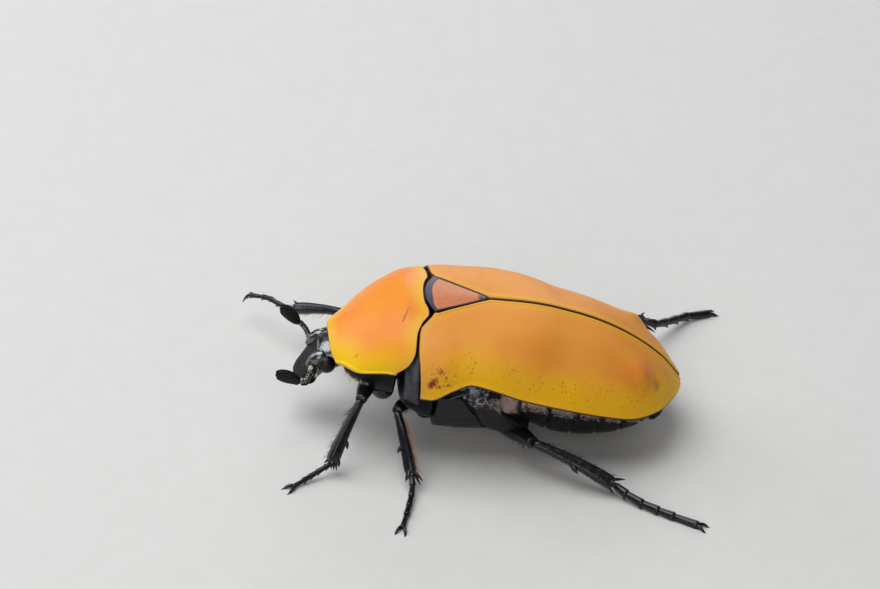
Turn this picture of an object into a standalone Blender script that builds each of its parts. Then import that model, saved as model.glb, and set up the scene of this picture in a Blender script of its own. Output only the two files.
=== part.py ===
"""A still, life-size model of an orange flower beetle, walking with its right front foot raised.

The body is described in the beetle's own level frame, in millimetres: +X is the beetle's left,
+Y is the tail, +Z is up, and the front of the scutellum lies near Y = 0. One empty tilts that
frame so that the head rides a little high, and another centres the whole model on its floor.
The legs are described in the standing frame, where the floor is Z = 0.
"""

import math

import bmesh
import bpy
import numpy as np
from mathutils import Matrix, Vector

MM = 0.001
NAME = "flower_beetle"
GAP = 0.3
BODY_PITCH = math.radians(4.0)

# Back, side and edge lines of the body, as (distance along the body, size) pairs
ELYTRA_RIDGE = ((-0.9, 10.12), (4.0, 10.06), (5.4, 10.06), (6.6, 10.02), (7.8, 9.91), (9.1, 9.68),
                (10.4, 9.4), (11.6, 9.05), (13.5, 8.28), (16.0, 6.72), (17.6, 5.1))
ELYTRA_HALF_WIDTH = ((-0.9, 6.12), (0.4, 6.24), (2.6, 6.08), (4.6, 6.25), (8.0, 6.25), (12.0, 5.7),
                     (14.0, 5.15), (15.7, 4.1), (16.9, 2.45), (17.4, 1.45), (17.6, 0.75))
ELYTRA_EDGE = ((-0.9, 5.52), (0.3, 5.72), (1.6, 6.53), (2.8, 7.06), (4.0, 6.92), (6.1, 6.36),
               (8.8, 5.88), (12.0, 5.19), (14.4, 4.8), (17.6, 4.82))
ELYTRA_LEVEL = ((-0.9, 5.7), (8.0, 5.6), (12.0, 5.0), (14.0, 4.4), (17.6, 3.5))
PRONOTUM_RIDGE = ((-6.8, 6.7), (-6.2, 6.83), (-5.6, 7.31), (-4.6, 8.31), (-3.0, 9.47), (-1.6, 10.12),
                  (-0.2, 10.2))
PRONOTUM_HALF_WIDTH = ((-6.8, 2.1), (-6.3, 2.27), (-5.6, 3.01), (-4.6, 4.12), (-3.0, 4.9), (-2.0, 5.27),
                       (-0.2, 5.4))
PRONOTUM_LEVEL = ((-6.8, 5.12), (-5.6, 5.59), (-4.6, 5.87), (-3.0, 6.55), (-2.2, 6.75), (-1.3, 7.1),
                  (-0.2, 7.3))

# How full the upright sections are: 2 is an oval, and more is squarer
SECTION_POWER = 2.12
ELYTRA_POWER = ((-0.9, 2.35), (1.5, 2.9), (3.5, 3.1), (6.0, 2.75), (9.0, 2.0), (12.0, 2.14), (14.5, 2.45),
                (17.6, 2.5))
PRONOTUM_POWER = ((-6.8, 1.75), (-5.0, 1.82), (-3.5, 2.08), (-2.0, 2.16), (-0.5, 2.36))

# The margins seen from above, as (across, along) pairs. The beetle holds its shield turned a
# little, so the seam behind it lies further forward on the left.
ELYTRA_FRONT = {
    "left": ((0.0, 0.03), (0.1, -0.45), (0.2, -0.85), (0.28, -0.91), (0.4, -0.91), (0.5, -0.88), (0.7, -0.73),
             (1.0, -0.54)),
    "right": ((0.0, 0.36), (0.1, 0.05), (0.2, 0.02), (0.4, -0.01), (0.7, -0.2), (1.0, -0.24)),
}
PRONOTUM_REAR = ((-1.0, -2.1), (-0.9, -1.0), (-0.78, -0.58), (-0.6, -0.48), (-0.4, -0.45), (-0.22, -0.28),
                 (-0.13, -0.6), (0.0, -0.8), (0.1, -0.74), (0.22, -0.38), (0.32, -0.74), (0.45, -1.1),
                 (0.6, -1.2), (0.75, -1.24), (0.9, -1.55), (1.0, -2.55))
PRONOTUM_FRONT = ((0.0, -6.77), (0.35, -6.64), (0.7, -6.45), (0.85, -6.22), (1.0, -6.4))

ELYTRON_WALL = 0.5
ELYTRON_END = 17.6
SUTURE_HALF_GAP = 0.16
PRONOTUM_WALL = 0.55
SCUTELLUM_HALF_WIDTH = 1.95
SCUTELLUM_FRONT = -0.5
SCUTELLUM_SIDE = 0.1
SCUTELLUM_TIP = 3.75
SCUTELLUM_TOP = 10.12
SCUTELLUM_WALL = 0.5

# The head from the neck to the clypeus: its face line and its throat line in side view, as
# (along, up) pairs, and its half width
HEAD_FACE = ((-5.3, 5.85), (-5.8, 5.88), (-6.35, 5.82), (-6.75, 5.66), (-7.1, 5.28),
             (-7.42, 4.72), (-7.75, 4.0), (-8.02, 3.4), (-8.3, 2.85), (-8.5, 2.45))
HEAD_THROAT = ((-5.1, 4.3), (-5.6, 3.95), (-6.1, 3.6), (-6.55, 3.4), (-6.95, 3.2),
               (-7.3, 3.0), (-7.6, 2.8), (-7.9, 2.55), (-8.2, 2.3), (-8.4, 2.15))
HEAD_HALF_WIDTH = (1.4, 1.5, 1.58, 1.6, 1.62, 1.62, 1.5, 1.42, 1.3, 0.95)
EYE_RADIUS = 0.62
EYE_PLACE = (1.62, -6.52, 4.66)
CLUB_LENGTH = 1.82
CLUB_WIDTH = 0.78
LEAF_RADIUS = 0.15

# The hind hip plates, from the middle of the belly up the side: how far out and up their outer face
# lies, and where they start and end along the body
HIND_PLATE = ((0.5, 1.45, 4.95, 6.0), (2.3, 1.55, 4.85, 6.15), (3.8, 2.05, 4.6, 6.5),
              (4.75, 2.75, 4.25, 7.25), (5.25, 3.6, 3.7, 6.3), (5.5, 4.6, 3.1, 5.2), (5.55, 5.7, 2.5, 4.0))
HIND_PLATE_DEPTH = 1.2

# Each pair of legs: thickest radii, how far the thigh bows up as a share of its length, where the
# shin's outer teeth sit, and the length of its spurs
LEG_BUILD = {
    "front": {"femur": 0.62, "bow": 0.06, "tibia": 0.46, "tarsus": 0.2, "teeth": (0.62, 0.9), "spur": 0.7},
    "mid": {"femur": 0.58, "bow": 0.06, "tibia": 0.44, "tarsus": 0.22, "teeth": (0.55,), "spur": 1.35},
    "hind": {"femur": 0.74, "bow": 0.02, "tibia": 0.5, "tarsus": 0.31, "teeth": (0.5,), "spur": 1.3},
}
FOOT_SOLE = 0.13

# Where each leg bends, in the standing frame: hip, knee, ankle, then the foot's path to its tip
LEG_POSE = {
    "leg_front_left": ((0.75, -3.1, 3.2), (4.87, -3.92, 4.65), (7.0, -5.75, 0.9),
                       ((7.75, -7.05, 0.42), (8.62, -8.25, FOOT_SOLE))),
    "leg_mid_left": ((1.1, -0.1, 1.95), (4.83, -1.48, 3.8), (8.1, -0.45, 1.0),
                     ((9.0, -0.35, 0.5), (10.95, -0.74, 0.27), (12.6, -1.15, FOOT_SOLE))),
    "leg_hind_left": ((1.35, 5.3, 0.8), (6.5, 7.6, 2.75), (8.3, 13.1, 0.8),
                      ((9.3, 14.3, 0.4), (10.5, 16.4, 0.24), (11.5, 18.4, FOOT_SOLE))),
    "leg_front_right": ((-0.75, -3.1, 3.2), (-4.86, -4.66, 4.75), (-7.75, -8.15, 2.93),
                        ((-8.2, -8.97, 2.78), (-9.25, -9.86, 2.73), (-10.2, -11.15, 2.25))),
    "leg_mid_right": ((-1.1, -0.1, 1.95), (-4.9, 0.3, 3.7), (-8.1, 1.9, 1.0),
                      ((-9.1, 2.4, 0.5), (-10.8, 3.2, 0.27), (-12.1, 3.4, FOOT_SOLE))),
    "leg_hind_right": ((-1.35, 6.35, 1.35), (-5.6, 11.0, 3.0), (-8.75, 16.5, 2.15),
                       ((-9.25, 17.45, 1.5), (-10.6, 18.6, 0.9), (-11.9, 19.9, 0.45),
                        (-12.7, 21.6, FOOT_SOLE))),
}
CLAW_LENGTH = 0.95
SPUR_CLEARANCE = 0.15
TARSAL_SHARES = (0.16, 0.2, 0.19, 0.18, 0.27)


def clear_scene():
    """Remove whatever objects the file opened with."""
    for old in list(bpy.data.objects):
        bpy.data.objects.remove(old, do_unlink=True)


def new_collection(name, hidden=False):
    """A collection under the scene, hidden from renders when it holds cutters."""
    collection = bpy.data.collections.new(name)
    collection.hide_render = hidden
    bpy.context.scene.collection.children.link(collection)
    return collection


def finish(name, colour, roughness, metallic=0.0):
    """A Principled material with one colour."""
    material = bpy.data.materials.new(name)
    material.use_nodes = True
    shader = material.node_tree.nodes["Principled BSDF"]
    shader.inputs["Base Color"].default_value = (*colour, 1.0)
    shader.inputs["Roughness"].default_value = roughness
    shader.inputs["Metallic"].default_value = metallic
    material.diffuse_color = (*colour, 1.0)
    return material


def profile(points):
    """A smooth curve through (place, size) pairs that never overshoots them."""
    places = np.array([place for place, _ in points])
    sizes = np.array([size for _, size in points])
    steps = np.diff(sizes) / np.diff(places)
    slopes = np.concatenate([steps[:1], np.zeros(len(steps) - 1), steps[-1:]])
    for i in range(1, len(steps)):
        if steps[i - 1] * steps[i] > 0.0:
            slopes[i] = 2.0 * steps[i - 1] * steps[i] / (steps[i - 1] + steps[i])

    def at(place):
        place = min(max(place, places[0]), places[-1])
        i = min(int(np.searchsorted(places, place, side="right")) - 1, len(steps) - 1)
        span = places[i + 1] - places[i]
        t = (place - places[i]) / span
        low = (1 + 2 * t) * (1 - t) ** 2 * sizes[i] + t * (1 - t) ** 2 * span * slopes[i]
        high = t * t * (3 - 2 * t) * sizes[i + 1] - t * t * (1 - t) * span * slopes[i + 1]
        return float(low + high)

    return at


def smooth_step(value, low, high):
    """Rise smoothly from 0 at low to 1 at high."""
    t = min(max((value - low) / (high - low), 0.0), 1.0)
    return t * t * (3 - 2 * t)


def bump(distance, reach):
    """A round bump of height 1 that has faded at the given reach."""
    return math.exp(-4.0 * (distance / reach) ** 2)


def add_object(name, mesh, place):
    """Link a mesh as an object under its parent empty."""
    thing = bpy.data.objects.new(name, mesh)
    place["collection"].objects.link(thing)
    thing.parent = place["parent"]
    return thing


def mesh_from(bm, name, smooth=True):
    """Turn a bmesh in millimetres into a mesh in metres, shaded smooth where it is round."""
    bmesh.ops.scale(bm, vec=(MM, MM, MM), verts=bm.verts)
    mesh = bpy.data.meshes.new(name)
    bm.to_mesh(mesh)
    bm.free()
    if smooth:
        mesh.shade_smooth()
        mesh.set_sharp_from_angle(angle=math.radians(45))
    return mesh


def sheet(name, rows, columns, surface, wall, place, material):
    """A curved shell: a grid laid on surface(u, v), with a wall that grows inwards."""
    bm = bmesh.new()
    bmesh.ops.create_grid(bm, x_segments=rows, y_segments=columns, size=0.5)
    for vert in bm.verts:
        vert.co = surface(vert.co.x + 0.5, vert.co.y + 0.5)
    bm.normal_update()
    if sum(face.normal.z * face.calc_area() for face in bm.faces) < 0.0:
        bmesh.ops.reverse_faces(bm, faces=bm.faces)
    shell = add_object(name, mesh_from(bm, name), place)
    shell.data.materials.append(material)
    solidify = shell.modifiers.new("wall", "SOLIDIFY")
    solidify.thickness = wall * MM
    solidify.offset = -1.0
    return shell


def loft(name, rings, place, material):
    """A closed body through rings of equal count, for sections that change along the way."""
    bm = bmesh.new()
    loops = [[bm.verts.new(point) for point in ring] for ring in rings]
    count = len(rings[0])
    for near, far in zip(loops, loops[1:]):
        for i in range(count):
            j = (i + 1) % count
            bm.faces.new((near[i], near[j], far[j], far[i]))
    bm.faces.new(loops[0])
    bm.faces.new(loops[-1])
    bmesh.ops.recalc_face_normals(bm, faces=bm.faces)
    body = add_object(name, mesh_from(bm, name), place)
    body.data.materials.append(material)
    return body


def section_ring(y, half_width, top, level, bottom, sides, powers):
    """One upright section of the body: a rounded outline, widest at its level line."""
    ring = []
    for i in range(sides):
        turn = 2.0 * math.pi * (i + 0.5) / sides
        power = powers[0] if math.sin(turn) > 0.0 else powers[1]
        height = top - level if math.sin(turn) > 0.0 else level - bottom
        x = math.copysign(abs(math.cos(turn)) ** (2.0 / power), math.cos(turn)) * half_width
        z = math.copysign(abs(math.sin(turn)) ** (2.0 / power), math.sin(turn)) * height
        ring.append(Vector((x, y, level + z)))
    return ring


def trunk(name, stations, shape, place, material, sides=28, lower_power=2.3, end_round=(0.3, 0.3),
          upper_power=None):
    """A length of the body with rounded ends. shape(y) gives half width, top, level and bottom."""
    first, last = stations[0], stations[-1]
    rings = []
    for y in stations:
        half_width, top, level, bottom = shape(y)
        powers = (upper_power(y) if upper_power else SECTION_POWER, lower_power)
        ring = section_ring(y, half_width, top, level, bottom, sides, powers)
        if y in (first, last):
            centre = Vector((0.0, y, 0.5 * (top + bottom)))
            shrink = end_round[0] if y == first else end_round[1]
            ring = [centre + (point - centre) * (1.0 - shrink) for point in ring]
        rings.append(ring)
    return loft(name, rings, place, material)


def freeze(thing):
    """Replace an object's modifiers or curve by the mesh they make, keeping one closed surface."""
    depsgraph = bpy.context.evaluated_depsgraph_get()
    mesh = bpy.data.meshes.new_from_object(thing.evaluated_get(depsgraph))
    bm = bmesh.new()
    bm.from_mesh(mesh)
    bmesh.ops.remove_doubles(bm, verts=bm.verts, dist=1e-6)
    keep_largest(bm)
    bm.to_mesh(mesh)
    bm.free()
    fixed = bpy.data.objects.new(thing.name + "_fixed", mesh)
    for collection in thing.users_collection:
        collection.objects.link(fixed)
    fixed.parent = thing.parent
    name = thing.name
    bpy.data.objects.remove(thing, do_unlink=True)
    fixed.name = name
    return fixed


def keep_largest(bm):
    """Delete every closed surface but the one that reaches furthest."""
    left = set(bm.faces)
    islands = []
    while left:
        start = left.pop()
        island, edge = {start}, [start]
        while edge:
            for border in edge.pop().edges:
                for face in border.link_faces:
                    if face in left:
                        left.discard(face)
                        island.add(face)
                        edge.append(face)
        islands.append(island)
    if len(islands) < 2:
        return

    def reach(island):
        corners = np.array([tuple(vert.co) for face in island for vert in face.verts])
        return float(np.prod(np.ptp(corners, axis=0)))

    largest = max(islands, key=reach)
    extra = [face for face in bm.faces if face not in largest]
    bmesh.ops.delete(bm, geom=extra, context="FACES")


def tube(name, points, radii, place, material, sides=8):
    """A round limb along points, with its own radius at each, as a bevelled curve made a mesh."""
    curve = bpy.data.curves.new(name, "CURVE")
    curve.dimensions = "3D"
    curve.bevel_depth = MM
    curve.bevel_resolution = (sides - 4) // 2
    curve.use_fill_caps = True
    spline = curve.splines.new("POLY")
    spline.points.add(len(points) - 1)
    for target, point, radius in zip(spline.points, points, radii):
        target.co = (*(Vector(point) * MM), 1.0)
        target.radius = radius
    thing = bpy.data.objects.new(name, curve)
    place["collection"].objects.link(thing)
    thing.parent = place["parent"]
    mesh_thing = freeze(thing)
    mesh_thing.data.materials.clear()
    mesh_thing.data.materials.append(material)
    mesh_thing.data.shade_smooth()
    mesh_thing.data.set_sharp_from_angle(angle=math.radians(50))
    return mesh_thing


def ball(name, centre, radii, place, material, turn=None, sides=14, rows=9):
    """An egg-shaped body with its own radius along each axis, turned as asked."""
    bm = bmesh.new()
    matrix = Matrix.Translation(centre) @ (turn or Matrix.Identity(4)) @ Matrix.Diagonal((*radii, 1.0))
    bmesh.ops.create_uvsphere(bm, u_segments=sides, v_segments=rows, radius=1.0, matrix=matrix)
    egg = add_object(name, mesh_from(bm, name), place)
    egg.data.materials.append(material)
    return egg


def spine(name, root, tip, radius, place, material, sides=5):
    """A tapered spine whose root is sunk into what carries it."""
    root, tip = Vector(root), Vector(tip)
    along = tip - root
    turn = along.to_track_quat("Z", "Y").to_matrix().to_4x4()
    matrix = Matrix.Translation((root + tip) / 2.0) @ turn
    bm = bmesh.new()
    bmesh.ops.create_cone(bm, cap_ends=True, segments=sides, radius1=radius, radius2=radius * 0.2,
                          depth=along.length, matrix=matrix)
    thing = add_object(name, mesh_from(bm, name, smooth=False), place)
    thing.data.materials.append(material)
    return thing


def join_forms(base, forms):
    """Fuse smaller forms into the body that they grow from."""
    pieces = bpy.data.collections.new(base.name + "_forms")
    bpy.context.scene.collection.children.link(pieces)
    for form in forms:
        for collection in list(form.users_collection):
            collection.objects.unlink(form)
        pieces.objects.link(form)
    union = base.modifiers.new("join", "BOOLEAN")
    union.operation = "UNION"
    union.operand_type = "COLLECTION"
    union.collection = pieces
    union.solver = "EXACT"
    material = base.data.materials[0]
    joined = freeze(base)
    joined.data.materials.clear()
    joined.data.materials.append(material)
    for form in list(pieces.objects):
        bpy.data.objects.remove(form, do_unlink=True)
    bpy.data.collections.remove(pieces)
    return joined


def volume_of(thing):
    """The volume that an object's evaluated mesh encloses, or 0 where it is open."""
    bm = bmesh.new()
    bm.from_object(thing, bpy.context.evaluated_depsgraph_get())
    closed = all(edge.is_manifold for edge in bm.edges)
    volume = bm.calc_volume(signed=True) if closed else 0.0
    bm.free()
    return volume


def carve(target_name, neighbour_names, cutters):
    """Cut a socket in a body for each neighbour, which it clears by the standard gap."""
    for neighbour_name in neighbour_names:
        depsgraph = bpy.context.evaluated_depsgraph_get()
        neighbour = bpy.data.objects[neighbour_name]
        mesh = bpy.data.meshes.new_from_object(neighbour.evaluated_get(depsgraph))
        bm = bmesh.new()
        bm.from_mesh(mesh)
        bm.normal_update()
        for vert, normal in [(vert, vert.normal.copy()) for vert in bm.verts]:
            vert.co += normal * GAP * MM * vert.calc_shell_factor()
        bm.to_mesh(mesh)
        bm.free()
        cutter = bpy.data.objects.new(f"room_{neighbour_name}_in_{target_name}"[:59], mesh)
        cutters.objects.link(cutter)
        cutter.parent = neighbour.parent
        cutter.hide_render = True
        cutter.display_type = "WIRE"
        target = bpy.data.objects[target_name]
        cut = target.modifiers.new("socket", "BOOLEAN")
        cut.operation = "DIFFERENCE"
        cut.object = cutter
        left_over = {}
        for solver in ("MANIFOLD", "EXACT"):
            cut.solver = solver
            bpy.context.view_layer.update()
            left_over[solver] = volume_of(target)
        if abs(left_over["EXACT"] - left_over["MANIFOLD"]) > 0.02 * MM ** 3:
            cut.solver = "MANIFOLD"
            bpy.context.view_layer.update()
    target = bpy.data.objects[target_name]
    material = target.data.materials[0]
    carved = freeze(target)
    carved.data.materials.clear()
    carved.data.materials.append(material)


def elytron_point(side, along, across):
    """A point of a wing case, as if on the left.

    side is left or right, along runs from 0 at the front to 1 at the tip, and across from 0 at the
    suture to 1 at the edge.
    """
    ridge, width = profile(ELYTRA_RIDGE), profile(ELYTRA_HALF_WIDTH)
    edge, level = profile(ELYTRA_EDGE), profile(ELYTRA_LEVEL)
    front = profile(ELYTRA_FRONT[side])(across)
    travel = math.sin(along * math.pi / 2.0) * 0.55 + along * 0.45
    y = front + (ELYTRON_END - front) * travel
    power = profile(ELYTRA_POWER)(y)
    height = ridge(y) - level(y)
    edge_turn = math.acos(min(1.0, max(0.0, (edge(y) - level(y)) / height)) ** (power / 2.0))
    base_width = width(y) / math.sin(edge_turn) ** (2.0 / power)
    slant = (SCUTELLUM_TIP + 0.25 - y) / (SCUTELLUM_TIP + 0.25 - 0.3)
    inner = SUTURE_HALF_GAP + (SCUTELLUM_HALF_WIDTH + 0.12) * min(max(slant, 0.0), 1.0)
    inner_turn = math.asin(min(1.0, (inner / base_width) ** (power / 2.0)))
    turn = inner_turn + (edge_turn - inner_turn) * across
    x = base_width * math.sin(turn) ** (2.0 / power)
    z = level(y) + height * max(math.cos(turn), 0.0) ** (2.0 / power)
    callus = 0.28 * bump(math.hypot(x - 3.2, y - 14.3), 1.6)
    shoulder = 0.2 * bump(math.hypot(x - 5.2, y - 0.9), 1.8)
    lift = callus + shoulder
    return Vector((x + 0.4 * lift, y + 0.5 * callus, z + 0.8 * lift))


def make_elytra(place, material):
    """Both wing cases, each a shell that meets the other along the suture."""
    for side, sign in (("left", 1.0), ("right", -1.0)):
        def surface(u, v, side=side, sign=sign):
            point = elytron_point(side, u, v)
            return Vector((sign * point.x, point.y, point.z))

        sheet(f"elytron_{side}", 22, 11, surface, ELYTRON_WALL, place, material)


def pronotum_point(along, across):
    """A point of the pronotum, along 0 to 1 from front to rear, across -1 to 1."""
    ridge, width, level = profile(PRONOTUM_RIDGE), profile(PRONOTUM_HALF_WIDTH), profile(PRONOTUM_LEVEL)
    rear = profile(PRONOTUM_REAR)(across)
    front = profile(PRONOTUM_FRONT)(abs(across))
    travel = 0.5 - 0.5 * math.cos(along * math.pi)
    y = front + (rear - front) * (0.5 * travel + 0.5 * along)
    power = profile(PRONOTUM_POWER)(y)
    turn = abs(across) * math.radians(88.0)
    height = ridge(y) - level(y)
    x = width(y) * math.sin(turn) ** (2.0 / power)
    z = level(y) + height * max(math.cos(turn), 0.0) ** (2.0 / power)
    return Vector((math.copysign(x, across), y, z))


def make_pronotum(place, material):
    """The shield behind the head, notched at the rear for the scutellum."""
    def surface(u, v):
        return pronotum_point(u, 2.0 * v - 1.0)

    sheet("pronotum", 11, 26, surface, PRONOTUM_WALL, place, material)


def make_scutellum(place, material):
    """The triangular plate between the wing cases, with a bowed front and a shallow dome."""
    curve = bpy.data.curves.new("scutellum", "CURVE")
    curve.dimensions = "2D"
    curve.fill_mode = "BOTH"
    curve.extrude = SCUTELLUM_WALL / 2.0 * MM
    outline = []
    steps = 8
    for i in range(steps + 1):
        x = SCUTELLUM_HALF_WIDTH * (1.0 - 2.0 * i / steps)
        bow = 1.0 - (x / SCUTELLUM_HALF_WIDTH) ** 2
        outline.append((x, SCUTELLUM_SIDE + (SCUTELLUM_FRONT - SCUTELLUM_SIDE) * bow))
    for share in (0.4, 0.8):
        x = -SCUTELLUM_HALF_WIDTH * (1.0 - share) - 0.06
        outline.append((x, SCUTELLUM_SIDE + (SCUTELLUM_TIP - SCUTELLUM_SIDE) * share))
    outline.append((-0.1, SCUTELLUM_TIP))
    outline.append((0.1, SCUTELLUM_TIP))
    for share in (0.8, 0.4):
        x = SCUTELLUM_HALF_WIDTH * (1.0 - share) + 0.06
        outline.append((x, SCUTELLUM_SIDE + (SCUTELLUM_TIP - SCUTELLUM_SIDE) * share))
    spline = curve.splines.new("POLY")
    spline.points.add(len(outline) - 1)
    for target, (x, y) in zip(spline.points, outline):
        target.co = (x * MM, y * MM, 0.0, 1.0)
    spline.use_cyclic_u = True
    thing = bpy.data.objects.new("scutellum", curve)
    place["collection"].objects.link(thing)
    thing.parent = place["parent"]
    plate = freeze(thing)
    for vert in plate.data.vertices:
        vert.co.z += (SCUTELLUM_TOP - SCUTELLUM_WALL / 2.0) * MM
    plate.data.materials.clear()
    plate.data.materials.append(material)


def make_thorax(place, chitin):
    """The three rings under the pronotum, the scutellum and the front of the wing cases."""
    ridge, width, level = profile(PRONOTUM_RIDGE), profile(PRONOTUM_HALF_WIDTH), profile(PRONOTUM_LEVEL)
    inset = PRONOTUM_WALL + GAP + 0.12
    keel = profile(((-6.0, 4.5), (-4.6, 3.7), (-3.2, 3.1), (-1.9, 3.1)))

    def prothorax_shape(y):
        return width(y) - inset - 0.1, ridge(y) - inset, level(y) - 0.35, keel(y)

    trunk("prothorax", (-5.35, -5.1, -4.3, -3.4, -2.6, -2.2, -2.0), prothorax_shape, place, chitin,
          upper_power=profile(PRONOTUM_POWER))

    breast = profile(((-1.6, 3.3), (-0.8, 2.4), (0.0, 1.7), (1.0, 1.35)))
    mid_width = profile(((-1.7, 4.6), (-1.2, 5.2), (0.5, 5.3)))

    def mesothorax_shape(y):
        return mid_width(y), 8.75, 4.7, breast(y)

    mesothorax = trunk("mesothorax", (-1.65, -1.45, -0.9, -0.3, 0.3, 0.5), mesothorax_shape, place,
                       chitin, lower_power=1.8)
    lobes = []
    for sign in (1.0, -1.0):
        lobes.append(ball("mesepimeron", (sign * 5.0, -1.02, 5.35), (0.95, 0.6, 1.7), place, chitin,
                          sides=12, rows=8))
    join_forms(mesothorax, lobes)

    belly = profile(((0.8, 1.35), (2.4, 1.25), (4.6, 1.45)))
    rear_width = profile(((0.8, 5.5), (2.0, 5.45), (5.0, 5.4)))

    def metathorax_shape(y):
        return rear_width(y), 8.9, 5.3, belly(y)

    metathorax = trunk("metathorax", (0.8, 1.0, 2.2, 3.4, 4.5, 4.65), metathorax_shape, place, chitin,
                       lower_power=2.4, end_round=(0.12, 0.06))
    prong = ball("mesosternal_prong", (0.0, 0.55, 1.75), (0.42, 0.95, 0.36), place, chitin,
                 sides=10, rows=7)
    join_forms(metathorax, [prong])


def make_abdomen(place, chitin):
    """The hind body with its belly plates, and the pygidium that closes it at the rear."""
    ridge, width = profile(ELYTRA_RIDGE), profile(ELYTRA_HALF_WIDTH)
    edge = profile(ELYTRA_EDGE)
    inset = ELYTRON_WALL + GAP + 0.15
    belly = profile(((4.9, 2.6), (7.0, 2.55), (8.6, 1.95), (10.5, 1.7), (12.5, 1.95), (14.2, 2.55),
                     (15.7, 3.4)))
    joints = (6.6, 8.3, 10.0, 11.7, 13.3, 14.7)

    def abdomen_shape(y):
        fold = 0.0
        for joint in joints:
            fold = max(fold, 0.16 * (1.0 - smooth_step(abs(y - joint), 0.0, 0.35)))
        half_width = min(width(y), 6.2) - inset - fold
        top = ridge(y) - inset - 0.05 - 0.7 * smooth_step(y, 13.0, 16.0)
        return half_width, top, edge(y) - 0.35, belly(y) + fold

    stations = [4.95, 5.1, 6.2]
    for joint in joints:
        stations += [joint, joint + 0.4]
    stations += [15.4, 15.7]
    trunk("abdomen", stations, abdomen_shape, place, chitin, sides=30, lower_power=2.75,
          end_round=(0.06, 0.35))
    lean = Matrix.Rotation(math.radians(-38.0), 4, "X")
    ball("pygidium", (0.0, 15.95, 3.55), (2.8, 0.55, 1.25), place, chitin, turn=lean, sides=16, rows=8)


def make_head(place, chitin):
    """The head with its long square clypeus, the eyes, mouthparts and antennae."""
    rings = []
    sides = 20
    for face, throat, half_width in zip(HEAD_FACE, HEAD_THROAT, HEAD_HALF_WIDTH):
        front, back = Vector((0.0, *face)), Vector((0.0, *throat))
        centre = (front + back) / 2.0
        ring = []
        for i in range(sides):
            turn = 2.0 * math.pi * (i + 0.5) / sides
            across = math.copysign(abs(math.cos(turn)) ** 0.72, math.cos(turn)) * half_width
            out = math.copysign(abs(math.sin(turn)) ** 0.8, math.sin(turn))
            ring.append(centre + Vector((across, 0.0, 0.0)) + (front - centre) * out)
        rings.append(ring)
    loft("head", rings, place, chitin)

    for side, sign in (("left", 1.0), ("right", -1.0)):
        centre = (sign * EYE_PLACE[0], EYE_PLACE[1], EYE_PLACE[2])
        ball(f"eye_{side}", centre, (EYE_RADIUS * 0.85, EYE_RADIUS, EYE_RADIUS), place,
             eye_finish(), sides=14, rows=9)

    chin = Vector((0.0, -7.42, 2.55))
    mouth = ball("mouthparts", chin, (0.9, 0.55, 0.5), place, chitin, sides=12, rows=7)
    palps = []
    for sign in (1.0, -1.0):
        root = chin + Vector((sign * 0.5, 0.0, 0.0))
        points = (root, root + Vector((sign * 0.3, -0.2, -0.2)), root + Vector((sign * 0.4, -0.55, -0.25)))
        palps.append(tube("palp", points, (0.2, 0.17, 0.12), place, chitin, sides=6))
    join_forms(mouth, palps)
    make_antennae(place, chitin)


def make_antennae(place, chitin):
    """Each antenna: a jointed stem from in front of the eye, and a club of three leaves."""
    routes = {
        "left": ((1.3, -7.3, 4.0), (1.8, -7.55, 3.85), (2.0, -7.72, 3.5), (2.0, -7.8, 3.32),
                 Vector((0.05, -0.95, 0.28))),
        "right": ((-1.3, -7.4, 4.2), (-1.8, -7.66, 4.52), (-2.1, -7.93, 4.85), (-2.2, -8.05, 4.97),
                  Vector((-0.05, -0.8, 0.62))),
    }
    for side, route in routes.items():
        stem = [Vector(point) for point in route[:4]]
        aim = route[4].normalized()
        tube(f"antenna_stem_{side}", stem, (0.24, 0.27, 0.25, 0.25), place, chitin, sides=8)
        base = stem[-1] + aim * (GAP + 0.02)
        centre = base + aim * (CLUB_LENGTH / 2.0)
        turn = aim.to_track_quat("Y", "Z").to_matrix().to_4x4()
        leaves = []
        for i in (-1, 0, 1):
            shift = turn @ Vector((i * 0.17, 0.0, 0.0))
            size = 1.0 if i == 0 else 0.94
            radii = (LEAF_RADIUS, CLUB_LENGTH / 2.0 * size, CLUB_WIDTH / 2.0 * size)
            leaves.append(ball(f"leaf_{i}", centre + shift, radii, place, chitin,
                               turn=turn, sides=10, rows=6))
        leaves[1].name = f"antenna_club_{side}"
        join_forms(leaves[1], [leaves[0], leaves[2]])


def eye_finish():
    """The eyes' own glossy black, made once."""
    return bpy.data.materials.get("eye_black") or finish("eye_black", (0.012, 0.01, 0.012), 0.12)


def limb_frame(start, end, up):
    """Unit directions of a limb: along it, across it and towards up."""
    along = (end - start).normalized()
    across = along.cross(up).normalized()
    return along, across, across.cross(along).normalized()


def path_point(points, share):
    """The point at a share of the length of a path."""
    lengths = [(far - near).length for near, far in zip(points, points[1:])]
    left = share * sum(lengths)
    for near, far, length in zip(points, points[1:], lengths):
        if left <= length or far is points[-1]:
            return near + (far - near) * min(left / length, 1.0)
        left -= length
    return points[-1]


def flatten(thing, start, end, up, share):
    """Press a limb thinner along its up direction."""
    lift = limb_frame(start, end, up)[2]
    for vert in thing.data.vertices:
        height = (vert.co / MM - start).dot(lift)
        vert.co -= lift * (height * (1.0 - share)) * MM


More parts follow.
